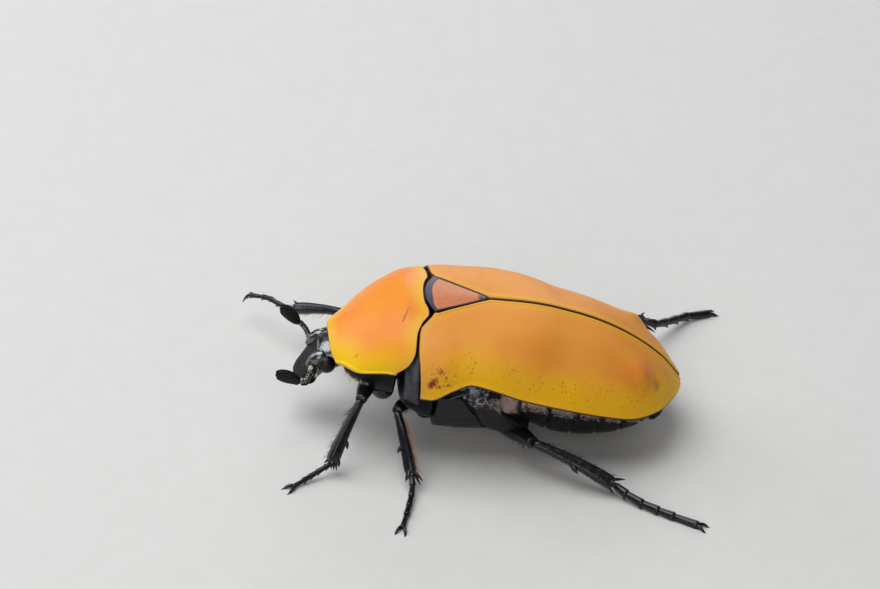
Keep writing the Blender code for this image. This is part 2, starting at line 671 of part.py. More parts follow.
def make_femur(name, hip, knee, build, place, chitin):
    """A thigh, thickest before its middle, that stops short of the knee."""
    radius = build["femur"]
    along, _, lift = limb_frame(hip, knee, Vector((0.0, 0.0, 1.0)))
    length = (knee - hip).length
    shares = (0.0, 0.08, 0.25, 0.5, 0.75, 0.92, 0.99)
    fullness = (0.4, 0.66, 0.92, 1.0, 0.85, 0.66, 0.48)
    points = []
    for share in shares:
        arch = build["bow"] * length * math.sin(math.pi * share)
        points.append(hip + along * (length * share) + lift * arch)
    femur = tube(name, points, [radius * full for full in fullness], place, chitin, sides=10)
    flatten(femur, hip, knee, Vector((0.0, 0.0, 1.0)), 0.86)


def make_tibia(name, knee, ankle, build, side, place, chitin):
    """A shin that widens to its end, with outer teeth, spines at its tip and two spurs."""
    along, across, lift = limb_frame(knee, ankle, Vector((0.0, 0.0, 1.0)))
    length = (ankle - knee).length
    radius = build["tibia"]
    shares = (0.02, 0.1, 0.3, 0.6, 0.85, 0.97)
    fullness = (0.55, 0.68, 0.72, 0.86, 1.0, 0.92)
    points = []
    for share in shares:
        arch = 0.03 * length * math.sin(math.pi * share)
        points.append(knee + along * (length * share) + lift * arch)
    tibia = tube(name, points, [radius * full for full in fullness], place, chitin, sides=10)
    outer = across * side
    forms = []
    for tooth in build["teeth"]:
        root = knee + along * (length * tooth) + outer * (radius * 0.3)
        tip = root + outer * (radius * 1.15) + along * (radius * 0.9)
        forms.append(spine("tooth", root, tip, radius * 0.45, place, chitin, sides=6))
    for lean, reach in ((-0.55, 1.0), (0.35, 0.8)):
        root = knee + along * (length * 0.93) - outer * (radius * 0.35) + lift * (radius * lean * 0.4)
        aim = along + lift * lean - outer * 0.45
        tip = root + aim.normalized() * build["spur"] * reach
        tip.z = max(tip.z, SPUR_CLEARANCE)
        forms.append(spine("spur", root, tip, 0.13, place, chitin))
    for lean in (-0.6, 0.1, 0.7):
        root = knee + along * (length * 0.92) + outer * (radius * 0.3) + lift * (radius * lean * 0.6)
        aim = along * 1.2 + outer * 0.5 + lift * lean * 0.6
        tip = root + aim.normalized() * 0.75
        tip.z = max(tip.z, SPUR_CLEARANCE)
        forms.append(spine("end_spine", root, tip, 0.12, place, chitin))
    join_forms(tibia, forms)


def make_tarsus(name, ankle, path, radius, place, chitin):
    """Five joints that each widen to their end, and two hooked claws."""
    route = [ankle] + [Vector(point) for point in path]
    reach = 0.0
    points = []
    radii = []
    for i, share in enumerate(TARSAL_SHARES):
        slim = 0.62 if i < 4 else 0.55
        for within, full in ((0.0, slim), (0.8, 1.0), (0.96, 0.92)):
            points.append(path_point(route, reach + share * within))
            radii.append(radius * full)
        reach += share
    tarsus = tube(name, points, radii, place, chitin, sides=6)
    tip = points[-1]
    heading = (route[-1] - route[-2]).normalized()
    sideways = heading.cross(Vector((0.0, 0.0, 1.0))).normalized()
    claws = []
    for sign in (1.0, -1.0):
        claw_points = []
        for share in (0.0, 0.35, 0.7, 1.0):
            spread = sideways * sign * (0.08 + 0.42 * share) * CLAW_LENGTH
            drop = Vector((0.0, 0.0, 0.12 * math.sin(share * math.pi * 0.8) - 0.3 * share * share))
            claw_points.append(tip - heading * 0.12 + heading * share * CLAW_LENGTH * 0.9 + spread + drop)
        claws.append(tube("claw", claw_points, (0.13, 0.12, 0.09, 0.04), place, chitin, sides=6))
    return join_forms(tarsus, claws)


def trim_at_floor(thing):
    """Cut a foot off flat where it meets the floor."""
    bm = bmesh.new()
    bm.from_mesh(thing.data)
    geometry = bm.verts[:] + bm.edges[:] + bm.faces[:]
    cut = bmesh.ops.bisect_plane(bm, geom=geometry, plane_co=(0.0, 0.0, 0.0), plane_no=(0.0, 0.0, 1.0),
                                 clear_inner=True, dist=1e-7)
    edges = [item for item in cut["geom_cut"] if isinstance(item, bmesh.types.BMEdge)]
    bmesh.ops.contextual_create(bm, geom=edges)
    open_edges = [edge for edge in bm.edges if len(edge.link_faces) == 1]
    if open_edges:
        bmesh.ops.holes_fill(bm, edges=open_edges, sides=0)
    keep_largest(bm)
    bm.to_mesh(thing.data)
    bm.free()


def make_hind_plate(name, side, place, chitin):
    """A broad hind hip that wraps the side of the body and ends in a lobe towards the rear."""
    rings = []
    sides = 12
    for i, (x, z, start, end) in enumerate(HIND_PLATE):
        before = HIND_PLATE[max(i - 1, 0)]
        after = HIND_PLATE[min(i + 1, len(HIND_PLATE) - 1)]
        run = Vector((after[0] - before[0], 0.0, after[1] - before[1])).normalized()
        outward = Vector((run.z, 0.0, -run.x))
        depth = HIND_PLATE_DEPTH * (0.6 if after is HIND_PLATE[i] or before is HIND_PLATE[i] else 1.0)
        centre = Vector((x, (start + end) / 2.0, z)) - outward * (depth / 2.0)
        ring = []
        for j in range(sides):
            turn = 2.0 * math.pi * (j + 0.5) / sides
            along = math.copysign(abs(math.cos(turn)) ** 0.5, math.cos(turn)) * (end - start) / 2.0
            out = math.copysign(abs(math.sin(turn)) ** 0.6, math.sin(turn)) * depth / 2.0
            point = centre + Vector((0.0, along, 0.0)) + outward * out
            ring.append(Vector((side * point.x, point.y, point.z)))
        rings.append(ring)
    return loft(name, rings, place, chitin)


def make_legs(body_place, floor_place, chitin):
    """Six legs: hips in the body's frame, and thighs, shins and feet in the standing frame."""
    coxae = {
        "front": (((3.0, -2.45, 4.1), (2.1, -2.6, 3.5), (1.15, -2.7, 3.1)), (0.5, 0.78, 0.6)),
        "mid": (((2.2, 0.75, 2.1), (1.6, 0.55, 1.75), (1.15, 0.45, 1.6)), (0.45, 0.7, 0.45)),
    }
    for name, (hip, knee, ankle, path) in LEG_POSE.items():
        kind = name.split("_")[1]
        side = 1.0 if name.endswith("left") else -1.0
        build = LEG_BUILD[kind]
        hip, knee, ankle = Vector(hip), Vector(knee), Vector(ankle)
        if kind == "hind":
            make_hind_plate(f"{name}_coxa", side, body_place, chitin)
        else:
            points, radii = coxae[kind]
            mirrored = [(side * x, y, z) for x, y, z in points]
            tube(f"{name}_coxa", mirrored, radii, body_place, chitin, sides=10)
        make_femur(f"{name}_femur", hip, knee, build, floor_place, chitin)
        outer = 1.0 if kind == "front" else -1.0
        make_tibia(f"{name}_tibia", knee, ankle, build, -side * outer, floor_place, chitin)
        tarsus = make_tarsus(f"{name}_tarsus", ankle, path, build["tarsus"], floor_place, chitin)
        trim_at_floor(tarsus)


def open_sockets(cutters):
    """Give every joint its room, so that neighbours meet face to face across a narrow gap."""
    for name in LEG_POSE:
        carve(f"{name}_femur", [f"{name}_tibia"], cutters)
        carve(f"{name}_tibia", [f"{name}_tarsus"], cutters)
        carve(f"{name}_coxa", [f"{name}_femur"], cutters)
    for side in ("left", "right"):
        carve("head", [f"eye_{side}", f"antenna_stem_{side}"], cutters)
    carve("head", ["mouthparts"], cutters)
    front = [f"leg_front_{side}_{part}" for side in ("left", "right") for part in ("coxa", "femur")]
    mid = [f"leg_mid_{side}_{part}" for side in ("left", "right") for part in ("coxa", "femur")]
    hind = [f"leg_hind_{side}_{part}" for side in ("left", "right") for part in ("coxa", "femur")]
    carve("prothorax", front + ["head"], cutters)
    carve("mesothorax", mid + ["metathorax"], cutters)
    carve("metathorax", mid + hind, cutters)
    carve("abdomen", hind + ["pygidium"], cutters)


def stand_on_floor(stance, parts):
    """Centre the model over its floor, midway between its furthest points."""
    bpy.context.view_layer.update()
    depsgraph = bpy.context.evaluated_depsgraph_get()
    corners = []
    for thing in parts.objects:
        if thing.type == "MESH":
            mesh = thing.evaluated_get(depsgraph).to_mesh()
            corners += [thing.matrix_world @ vert.co for vert in mesh.vertices]
    middle = [(min(c[i] for c in corners) + max(c[i] for c in corners)) / 2.0 for i in (0, 1)]
    stance.location = (-middle[0], -middle[1], 0.0)


def main():
    """Build the beetle."""
    clear_scene()
    parts = new_collection(NAME)
    cutters = new_collection(NAME + "_cutters", hidden=True)
    stance = bpy.data.objects.new("stance", None)
    tilt = bpy.data.objects.new("body_tilt", None)
    for empty in (stance, tilt):
        parts.objects.link(empty)
    tilt.parent = stance
    tilt.rotation_euler = (-BODY_PITCH, 0.0, 0.0)
    bpy.context.view_layer.update()
    body = {"collection": parts, "parent": tilt}
    floor = {"collection": parts, "parent": stance}

    orange = finish("elytron_orange", (0.72, 0.27, 0.07), 0.32)
    shield = finish("pronotum_orange", (0.78, 0.3, 0.05), 0.3)
    salmon = finish("scutellum_salmon", (0.62, 0.22, 0.09), 0.34)
    chitin = finish("black_chitin", (0.015, 0.014, 0.016), 0.25)

    make_elytra(body, orange)
    make_pronotum(body, shield)
    make_scutellum(body, salmon)
    make_thorax(body, chitin)
    make_abdomen(body, chitin)
    make_head(body, chitin)
    make_legs(body, floor, chitin)
    bpy.context.view_layer.update()
    open_sockets(cutters)
    stand_on_floor(stance, parts)


main()
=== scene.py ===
"""Looks of a still, life-size orange flower beetle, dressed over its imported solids.

The body is described in the beetle's own level frame, in millimetres: +X is its left, +Y its tail
and +Z up. The legs are described in the standing frame, whose floor is Z = 0. Stance turns both
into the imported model's metres. Every piece rides on the one body, "root".
"""

from __future__ import annotations

import logging
import math
from dataclasses import dataclass
from enum import Enum
from typing import Any, Callable, Sequence

import bpy
import numpy as np
from bpy.types import Material, NodeSocket, Object
from mathutils import Matrix, Vector


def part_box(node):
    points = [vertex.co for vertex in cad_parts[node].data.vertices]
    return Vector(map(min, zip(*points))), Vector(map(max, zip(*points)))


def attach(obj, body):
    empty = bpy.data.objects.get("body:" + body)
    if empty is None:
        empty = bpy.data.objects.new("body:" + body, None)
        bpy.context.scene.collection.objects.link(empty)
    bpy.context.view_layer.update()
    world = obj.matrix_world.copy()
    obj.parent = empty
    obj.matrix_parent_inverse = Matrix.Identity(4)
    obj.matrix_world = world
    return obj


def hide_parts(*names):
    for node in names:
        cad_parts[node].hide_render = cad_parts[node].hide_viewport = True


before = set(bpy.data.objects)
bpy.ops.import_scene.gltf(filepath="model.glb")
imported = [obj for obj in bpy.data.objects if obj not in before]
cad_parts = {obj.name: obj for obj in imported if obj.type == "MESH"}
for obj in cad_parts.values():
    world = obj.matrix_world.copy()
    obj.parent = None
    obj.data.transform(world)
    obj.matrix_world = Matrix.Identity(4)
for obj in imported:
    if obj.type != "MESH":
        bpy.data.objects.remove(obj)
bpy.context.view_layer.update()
LOG = logging.getLogger("beetle")
MM = 0.001
Array = np.ndarray
Colour = tuple[float, float, float]
Point = tuple[float, float, float]
SIDES = (("left", 1.0), ("right", -1.0))


@dataclass(frozen=True)
class Line:
    """A smooth curve through (place, size) pairs that never overshoots them."""

    points: tuple[tuple[float, float], ...]

    def at(self, place: float | Array) -> Any:
        """The size at a place.

        Args:
            place: one place, or an array of them.

        Returns:
            The size there, in the same form.
        """
        x = np.array([p for p, _ in self.points], float)
        y = np.array([size for _, size in self.points], float)
        step = np.diff(y) / np.diff(x)
        slope = np.concatenate([step[:1], np.zeros(len(step) - 1), step[-1:]])
        for k in range(1, len(step)):
            if step[k - 1] * step[k] > 0.0:
                slope[k] = 2.0 * step[k - 1] * step[k] / (step[k - 1] + step[k])
        place = np.clip(place, x[0], x[-1])
        i = np.minimum(np.searchsorted(x, place, side="right") - 1, len(step) - 1)
        span = x[i + 1] - x[i]
        t = (place - x[i]) / span
        low = (1 + 2 * t) * (1 - t) ** 2 * y[i] + t * (1 - t) ** 2 * span * slope[i]
        return low + t * t * (3 - 2 * t) * y[i + 1] - t * t * (1 - t) * span * slope[i + 1]


def fade(value: float | Array, low: float, high: float) -> Any:
    """Rise smoothly from 0 at low to 1 at high."""
    t = np.clip((value - low) / (high - low), 0.0, 1.0)
    return t * t * (3 - 2 * t)


def swell(distance: float | Array, reach: float) -> Any:
    """A round bump of height 1 that has faded at the given reach."""
    return np.exp(-4.0 * (distance / reach) ** 2)


def arc(share: Array) -> Array:
    """The height of a quarter circle of radius 1 at a share of its width, and 1 past it."""
    return np.sqrt(1.0 - (1.0 - np.minimum(share, 1.0)) ** 2)


def squared(value: Array, power: float | Array) -> Array:
    """A power that keeps the value's sign, which squares a circle's sine and cosine."""
    return np.copysign(np.abs(value) ** power, value)


def columns(rows: Sequence[Sequence[float]], spots: Array) -> list[Array]:
    """Each column of a table, read smoothly at spots that are counted in its rows."""
    return [Line(tuple(enumerate(column))).at(spots) for column in zip(*rows)]


def between(corners: Array, along: Array, across: Array) -> Array:
    """Places on a flat patch.

    Args:
        corners: the patch's corners, from the upper front round to the lower front by the rear.
        along: shares from front to rear.
        across: shares from the upper to the lower edge.

    Returns:
        The places, one for each pair of shares.
    """
    u, v = along[..., None], across[..., None]
    a, b, c, d = corners
    return a * (1 - u) * (1 - v) + b * u * (1 - v) + c * u * v + d * (1 - u) * v


@dataclass(frozen=True)
class Stance:
    """How the beetle stands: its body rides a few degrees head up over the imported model's floor."""

    pitch: float = math.radians(4.0)
    plate_tip: Point = (0.0, 3.75, 10.12)

    def floor(self) -> Matrix:
        """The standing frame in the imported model.

        Returns:
            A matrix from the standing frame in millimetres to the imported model's metres.
        """
        low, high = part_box("scutellum")
        reach = self.plate_tip[1] * math.cos(self.pitch) + self.plate_tip[2] * math.sin(self.pitch)
        shift = Vector(((low.x + high.x) / 2.0, high.y - reach * MM, 0.0))
        return Matrix.Translation(shift) @ Matrix.Scale(MM, 4)

    def body(self) -> Matrix:
        """The matrix from the body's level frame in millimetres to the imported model's metres."""
        return self.floor() @ Matrix.Rotation(-self.pitch, 4, "X")


class Bench:
    """The modelling steps that the pieces are made with."""

    @staticmethod
    def only(*pieces: Object) -> None:
        """Select these pieces alone.

        Args:
            pieces: the pieces, the active one first.
        """
        if bpy.context.object and bpy.context.object.mode != "OBJECT":
            bpy.ops.object.mode_set(mode="OBJECT")
        bpy.ops.object.select_all(action="DESELECT")
        for piece in pieces:
            piece.select_set(True)
        if pieces:
            bpy.context.view_layer.objects.active = pieces[0]

    @staticmethod
    def name(name: str) -> Object:
        """Name the object that was just added.

        Args:
            name: its name.

        Returns:
            The object.
        """
        piece = bpy.context.object
        piece.name = piece.data.name = name
        return piece

    @staticmethod
    def limb(name: str, stations: Sequence[Sequence[float]], sides: int = 20) -> Object:
        """Extrude a disc along +Z through stations, moving and resizing it at each.

        Args:
            name: the piece's name.
            stations: x, y, z, half width and half height of each ring.
            sides: corners of a ring.

        Returns:
            A closed limb in millimetres.
        """
        Bench.only()
        bpy.ops.mesh.primitive_circle_add(vertices=sides, radius=1.0, fill_type="NGON")
        piece = Bench.name(name)
        bpy.ops.object.mode_set(mode="EDIT")
        bpy.ops.mesh.select_all(action="SELECT")
        first = stations[0]
        bpy.ops.transform.resize(value=(first[3], first[4], 1.0))
        bpy.ops.transform.translate(value=first[:3])
        for near, far in zip(stations, stations[1:]):
            step = tuple(b - a for a, b in zip(near[:3], far[:3]))
            bpy.ops.mesh.extrude_region_move(TRANSFORM_OT_translate={"value": step})
            bpy.ops.transform.resize(value=(far[3] / near[3], far[4] / near[4], 1.0),
                                     center_override=tuple(far[:3]))
        Bench.face_out(piece)
        return piece

    @staticmethod
    def face_out(piece: Object) -> None:
        """Turn every face of a closed mesh outwards.

        Args:
            piece: the mesh object.
        """
        Bench.only(piece)
        bpy.ops.object.mode_set(mode="EDIT")
        bpy.ops.mesh.select_all(action="SELECT")
        bpy.ops.mesh.normals_make_consistent(inside=False)
        bpy.ops.object.mode_set(mode="OBJECT")

    @staticmethod
    def blank(name: str, rings: int, sides: int, carry: Callable[[Array, Array], Array]) -> Object:
        """Extrude a straight blank and carry its corners onto a form.

        Args:
            name: the piece's name.
            rings: how many rings the blank has.
            sides: corners of a ring.
            carry: takes each corner's ring number and its turn round the ring, and returns its place.

        Returns:
            A closed piece in millimetres.
        """
        piece = Bench.limb(name, [(0.0, 0.0, float(i), 1.0, 1.0) for i in range(rings)], sides)
        Bench.shape(piece, lambda c: carry(np.clip(np.round(c[:, 2]).astype(int), 0, rings - 1),
                                           np.arctan2(c[:, 1], c[:, 0])))
        Bench.face_out(piece)
        return piece

    @staticmethod
    def ball(name: str, size: Point, place: Point = (0.0, 0.0, 0.0), segments: int = 48,
             rings: int = 32) -> Object:
        """A sphere with a half size along each axis, moved to its place.

        Args:
            name: the piece's name.
            size: its half sizes.
            place: its middle.
            segments: corners of a ring.
            rings: rings from pole to pole.

        Returns:
            A closed ball in millimetres.
        """
        Bench.only()
        bpy.ops.mesh.primitive_uv_sphere_add(segments=segments, ring_count=rings, radius=1.0)
        piece = Bench.name(name)
        bpy.ops.object.mode_set(mode="EDIT")
        bpy.ops.transform.resize(value=size)
        bpy.ops.transform.translate(value=place)
        bpy.ops.object.mode_set(mode="OBJECT")
        return piece

    @staticmethod
    def rod(name: str, points: Sequence[Sequence[float]], radii: Sequence[float], sides: int = 8,
            steps: int = 10, cap: float = 0.0) -> Object:
        """A round rod along a smooth path, made as a bevelled curve and turned into a mesh.

        Args:
            name: the piece's name.
            points: places on the path.
            radii: the radius at each place.
            sides: corners of a ring.
            steps: how many rings the path gets.
            cap: length over which each end is rounded off.

        Returns:
            A closed rod in millimetres.
        """
        places = np.array([tuple(p) for p in points], float)
        run = np.concatenate([[0.0], np.cumsum(np.linalg.norm(np.diff(places, axis=0), axis=1))])
        along = np.linspace(0.0, run[-1], steps)
        if cap:
            ends = cap * np.array([0.0, 0.05, 0.2, 0.5])
            middle = np.linspace(cap, run[-1] - cap, steps)
            along = np.concatenate([ends, middle, run[-1] - ends[::-1]])
        path = [Line(tuple(zip(run, places[:, k]))).at(along) for k in range(3)]
        size = Line(tuple(zip(run, radii))).at(along)
        if cap:
            edge = np.minimum(along, run[-1] - along) / cap
            size = size * np.sqrt(np.clip(1.0 - (1.0 - np.clip(edge, 0.0, 1.0)) ** 2, 0.004, 1.0))
        curve = bpy.data.curves.new(name, "CURVE")
        curve.dimensions, curve.use_fill_caps = "3D", True
        curve.bevel_depth, curve.bevel_resolution = 1.0, (sides - 4) // 2
        spline = curve.splines.new("POLY")
        spline.points.add(len(along) - 1)
        for target, x, y, z, radius in zip(spline.points, *path, size):
            target.co = (x, y, z, 1.0)
            target.radius = radius
        piece = bpy.data.objects.new(name, curve)
        bpy.context.scene.collection.objects.link(piece)
        Bench.only(piece)
        bpy.ops.object.convert(target="MESH")
        return Bench.name(name)

    @staticmethod
    def shape(piece: Object, move: Callable[[Array], Array]) -> None:
        """Move every corner of a mesh in one go, as with a sculpting brush.

        Args:
            piece: the mesh object.
            move: takes the corners as rows of x, y, z and returns their new places.
        """
        corners = np.empty(len(piece.data.vertices) * 3)
        piece.data.vertices.foreach_get("co", corners)
        piece.data.vertices.foreach_set("co", np.asarray(move(corners.reshape(-1, 3))).ravel())
        piece.data.update()

    @staticmethod
    def apply(piece: Object, kind: str, **settings: Any) -> None:
        """Add a modifier and apply it.

        Args:
            piece: the mesh object.
            kind: the modifier's type.
            settings: its settings by name.
        """
        Bench.only(piece)
        bpy.ops.object.modifier_add(type=kind)
        modifier = piece.modifiers[-1]
        for key, value in settings.items():
            setattr(modifier, key, value)
        bpy.ops.object.modifier_apply(modifier=modifier.name)

    @staticmethod
    def place(piece: Object, matrix: Matrix) -> None:
        """Carry a mesh by a matrix, so that its object stays at the origin.

        Args:
            piece: the mesh object.
            matrix: where to carry it.
        """
        Bench.only(piece)
        piece.matrix_world = matrix @ piece.matrix_world
        bpy.ops.object.transform_apply(location=True, rotation=True, scale=True)

    @staticmethod
    def copy(piece: Object, name: str, matrix: Matrix) -> Object:
        """Copy a piece with a mesh of its own.

        Args:
            piece: the pattern.
            name: the copy's name.
            matrix: carries the copy to its place.

        Returns:
            The copy.
        """
        twin = bpy.data.objects.new(name, piece.data.copy())
        bpy.context.scene.collection.objects.link(twin)
        Bench.place(twin, matrix)
        return twin

    @staticmethod
    def join(name: str, pieces: Sequence[Object]) -> Object:
        """Join pieces into one mesh object.

        Args:
            name: the name of the whole.
            pieces: its parts, which all go into the first.

        Returns:
            The joined piece.
        """
        Bench.only(*pieces)
        if len(pieces) > 1:
            bpy.ops.object.join()
        return Bench.name(name)

    @staticmethod
    def discard(piece: Object) -> None:
        """Remove a pattern piece once its copies are made."""
        bpy.data.objects.remove(piece, do_unlink=True)

    @staticmethod
    def mount(piece: Object, matrix: Matrix, finish: Material, slot: Slot, *nodes: str,
              angle: float = 40.0) -> None:
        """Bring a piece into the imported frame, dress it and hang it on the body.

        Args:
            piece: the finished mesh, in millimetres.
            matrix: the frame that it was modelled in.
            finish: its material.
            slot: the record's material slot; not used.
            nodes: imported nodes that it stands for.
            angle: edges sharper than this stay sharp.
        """
        Bench.place(piece, matrix)
        bpy.ops.object.shade_smooth_by_angle(angle=math.radians(angle))
        piece.data.materials.clear()
        piece.data.materials.append(finish)
        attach(piece, "root")
        if nodes:
            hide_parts(*nodes)
        LOG.info("%s: %d faces", piece.name, len(piece.data.polygons))


class Slot(Enum):
    """The record's material slots."""

    WING = "elytron_orange"
    SHIELD = "pronotum_orange"
    PLATE = "scutellum_salmon"
    CHITIN = "black_chitin"
    EYE = "eye_black"


class Graph:
    """A material's nodes, with short ways to add the usual ones."""

    def __init__(self, name: str, stance: Stance) -> None:
        """Start a material whose patterns are laid out in body millimetres.

        Args:
            name: the material's name.
            stance: where the body stands.
        """
        self.material = bpy.data.materials.new(name)
        self.material.use_nodes = True
        self.nodes = self.material.node_tree.nodes
        self.shader = self.nodes["Principled BSDF"]
        frame_of_body = stance.body().inverted()
        coordinates = self.nodes.new("ShaderNodeTexCoord")
        self.mapping = self.nodes.new("ShaderNodeMapping")
        self.mapping.inputs["Location"].default_value = frame_of_body.to_translation()
        self.mapping.inputs["Rotation"].default_value = (stance.pitch, 0.0, 0.0)
        self.mapping.inputs["Scale"].default_value = (1.0 / MM, 1.0 / MM, 1.0 / MM)
        self.link(coordinates.outputs["Object"], self.mapping.inputs["Vector"])
        self.spot = self.mapping.outputs["Vector"]

    def link(self, source: NodeSocket, target: NodeSocket) -> None:
        """Join two sockets."""
        self.material.node_tree.links.new(source, target)

    def feed(self, target: NodeSocket, value: Any) -> None:
        """Give a socket a value or another socket's output.

        Args:
            target: the socket to feed.
            value: a number, a colour or a socket.
        """
        if isinstance(value, NodeSocket):
            self.link(value, target)
        elif isinstance(value, tuple) and len(value) == 3 and target.type == "RGBA":
            target.default_value = (*value, 1.0)
        else:
            target.default_value = value

    def calc(self, operation: str, first: Any, *others: Any) -> NodeSocket:
        """Carry a Math node's operation over the values.

        Args:
            operation: the node's operation.
            first: a number or a socket.
            others: the values to take in one after another.

        Returns:
            The result.
        """
        for other in others or (0.0,):
            node = self.nodes.new("ShaderNodeMath")
            node.operation = operation
            self.feed(node.inputs[0], first)
            self.feed(node.inputs[1], other)
            first = node.outputs[0]
        return first

    def times(self, *values: Any) -> NodeSocket:
        """The product of the values."""
        return self.calc("MULTIPLY", *values)

    def plus(self, *values: Any) -> NodeSocket:
        """The sum of the values."""
        return self.calc("ADD", *values)

    def less(self, *values: Any) -> NodeSocket:
        """The first value less the others."""
        return self.calc("SUBTRACT", *values)

    def least(self, *values: Any) -> NodeSocket:
        """The smallest of the values."""
        return self.calc("MINIMUM", *values)

    def fall(self, value: Any, low: float, high: float, top: float = 1.0) -> NodeSocket:
        """Fall smoothly from top to 0 as value goes from low to high."""
        return self.rise(value, low, high, (top, 0.0))

    def rise(self, value: Any, low: float, high: float, to: tuple[float, float] = (0.0, 1.0)) -> NodeSocket:
        """Rise smoothly as a value goes from low to high.

        Args:
            value: the socket to follow.
            low: where the rise starts.
            high: where it ends.
            to: the results at both ends.

        Returns:
            The result.
        """
        node = self.nodes.new("ShaderNodeMapRange")
        node.interpolation_type = "SMOOTHSTEP"
        for key, item in (("Value", value), ("From Min", low), ("From Max", high), ("To Min", to[0]),
                          ("To Max", to[1])):
            self.feed(node.inputs[key], item)
        return node.outputs["Result"]

    def blend(self, share: Any, below: Any, above: Any) -> NodeSocket:
        """Mix two colours.

        Args:
            share: how much of the upper colour shows.
            below: the lower colour.
            above: the upper colour.

        Returns:
            The mixed colour.
        """
        node = self.nodes.new("ShaderNodeMix")
        node.data_type = "RGBA"
        for index, item in ((0, share), (6, below), (7, above)):
            self.feed(node.inputs[index], item)
        return node.outputs[2]

    def noise(self, per_mm: float, detail: float = 2.0, stretch: Point = (1.0, 1.0, 1.0)) -> NodeSocket:
        """Cloudy noise.

        Args:
            per_mm: cells a millimetre.
            detail: how many finer layers it has.
            stretch: scale along each axis.

        Returns:
            The noise, from 0 to 1.
        """
        node = self.nodes.new("ShaderNodeTexNoise")
        node.inputs["Scale"].default_value = per_mm
        node.inputs["Detail"].default_value = detail
        self.link(self.stretched(self.spot, stretch), node.inputs["Vector"])
        return node.outputs["Fac"]

    def stretched(self, where: NodeSocket, stretch: Point) -> NodeSocket:
        """Scale coordinates along each axis.

        Args:
            where: the coordinates.
            stretch: the scale along each axis.

        Returns:
            The scaled coordinates.
        """
        if stretch == (1.0, 1.0, 1.0):
            return where
        node = self.nodes.new("ShaderNodeMapping")
        node.inputs["Scale"].default_value = stretch
        self.link(where, node.inputs["Vector"])
        return node.outputs["Vector"]

    def cells(self, per_mm: float, where: NodeSocket | None = None, stretch: Point = (1.0, 1.0, 1.0),
              randomness: float = 1.0) -> NodeSocket:
        """Distance to the nearest of many scattered points.

        Args:
            per_mm: cells a millimetre.
            where: coordinates to use in place of the spot.
            stretch: scale along each axis.
            randomness: 0 for an even grid, 1 for a random one.

        Returns:
            The distance, in cells.
        """
        node = self.nodes.new("ShaderNodeTexVoronoi")
        node.inputs["Scale"].default_value = per_mm
        node.inputs["Randomness"].default_value = randomness
        self.link(self.stretched(where or self.spot, stretch), node.inputs["Vector"])
        return node.outputs["Distance"]

    def measure(self, name: str, output: str = "Fac") -> NodeSocket:
        """Read a piece's own attribute.

        Args:
            name: the attribute.
            output: Fac for a number, Vector for a place.

        Returns:
            Its value.
        """
        node = self.nodes.new("ShaderNodeAttribute")
        node.attribute_name = name
        return node.outputs[output]

    def near(self, point: Point, reach: float, ragged: Any = 0.0) -> NodeSocket:
        """A soft patch round a point of the body.

        Args:
            point: its middle.
            reach: where it has faded out.
            ragged: makes its edge uneven.

        Returns:
            1 in the middle, falling to 0.
        """
        node = self.nodes.new("ShaderNodeVectorMath")
        node.operation = "DISTANCE"
        self.link(self.spot, node.inputs[0])
        node.inputs[1].default_value = point
        return self.fall(self.plus(node.outputs["Value"], ragged), reach * 0.35, reach)

    def split(self) -> tuple[NodeSocket, NodeSocket, NodeSocket]:
        """Take the spot apart.

        Returns:
            Its x, y and z, in body millimetres.
        """
        node = self.nodes.new("ShaderNodeSeparateXYZ")
        self.link(self.spot, node.inputs[0])
        return node.outputs[0], node.outputs[1], node.outputs[2]

    def relief(self, height: NodeSocket, depth: float, below: NodeSocket | None = None) -> NodeSocket:
        """A bump on top of another bump.

        Args:
            height: the pattern, from 0 to 1.
            depth: its height in metres.
            below: the bump under it.

        Returns:
            The normal to give to the shader.
        """
        node = self.nodes.new("ShaderNodeBump")
        node.inputs["Distance"].default_value = depth
        node.inputs["Strength"].default_value = 1.0
        self.link(height, node.inputs["Height"])
        if below is not None:
            self.link(below, node.inputs["Normal"])
        return node.outputs["Normal"]

    def gloss(self, specular: float, ior: float = 1.5) -> None:
        """Set how strongly the surface mirrors."""
        self.shader.inputs["Specular IOR Level"].default_value = specular
        self.shader.inputs["IOR"].default_value = ior

    def close(self, colour: Any, roughness: Any, normal: NodeSocket | None = None) -> Material:
        """Feed the shader.

        Args:
            colour: a colour or a socket.
            roughness: a number or a socket.
            normal: the relief.

        Returns:
            The finished material.
        """
        self.feed(self.shader.inputs["Base Color"], colour)
        self.feed(self.shader.inputs["Roughness"], roughness)
        if normal is not None:
            self.link(normal, self.shader.inputs["Normal"])
        return self.material


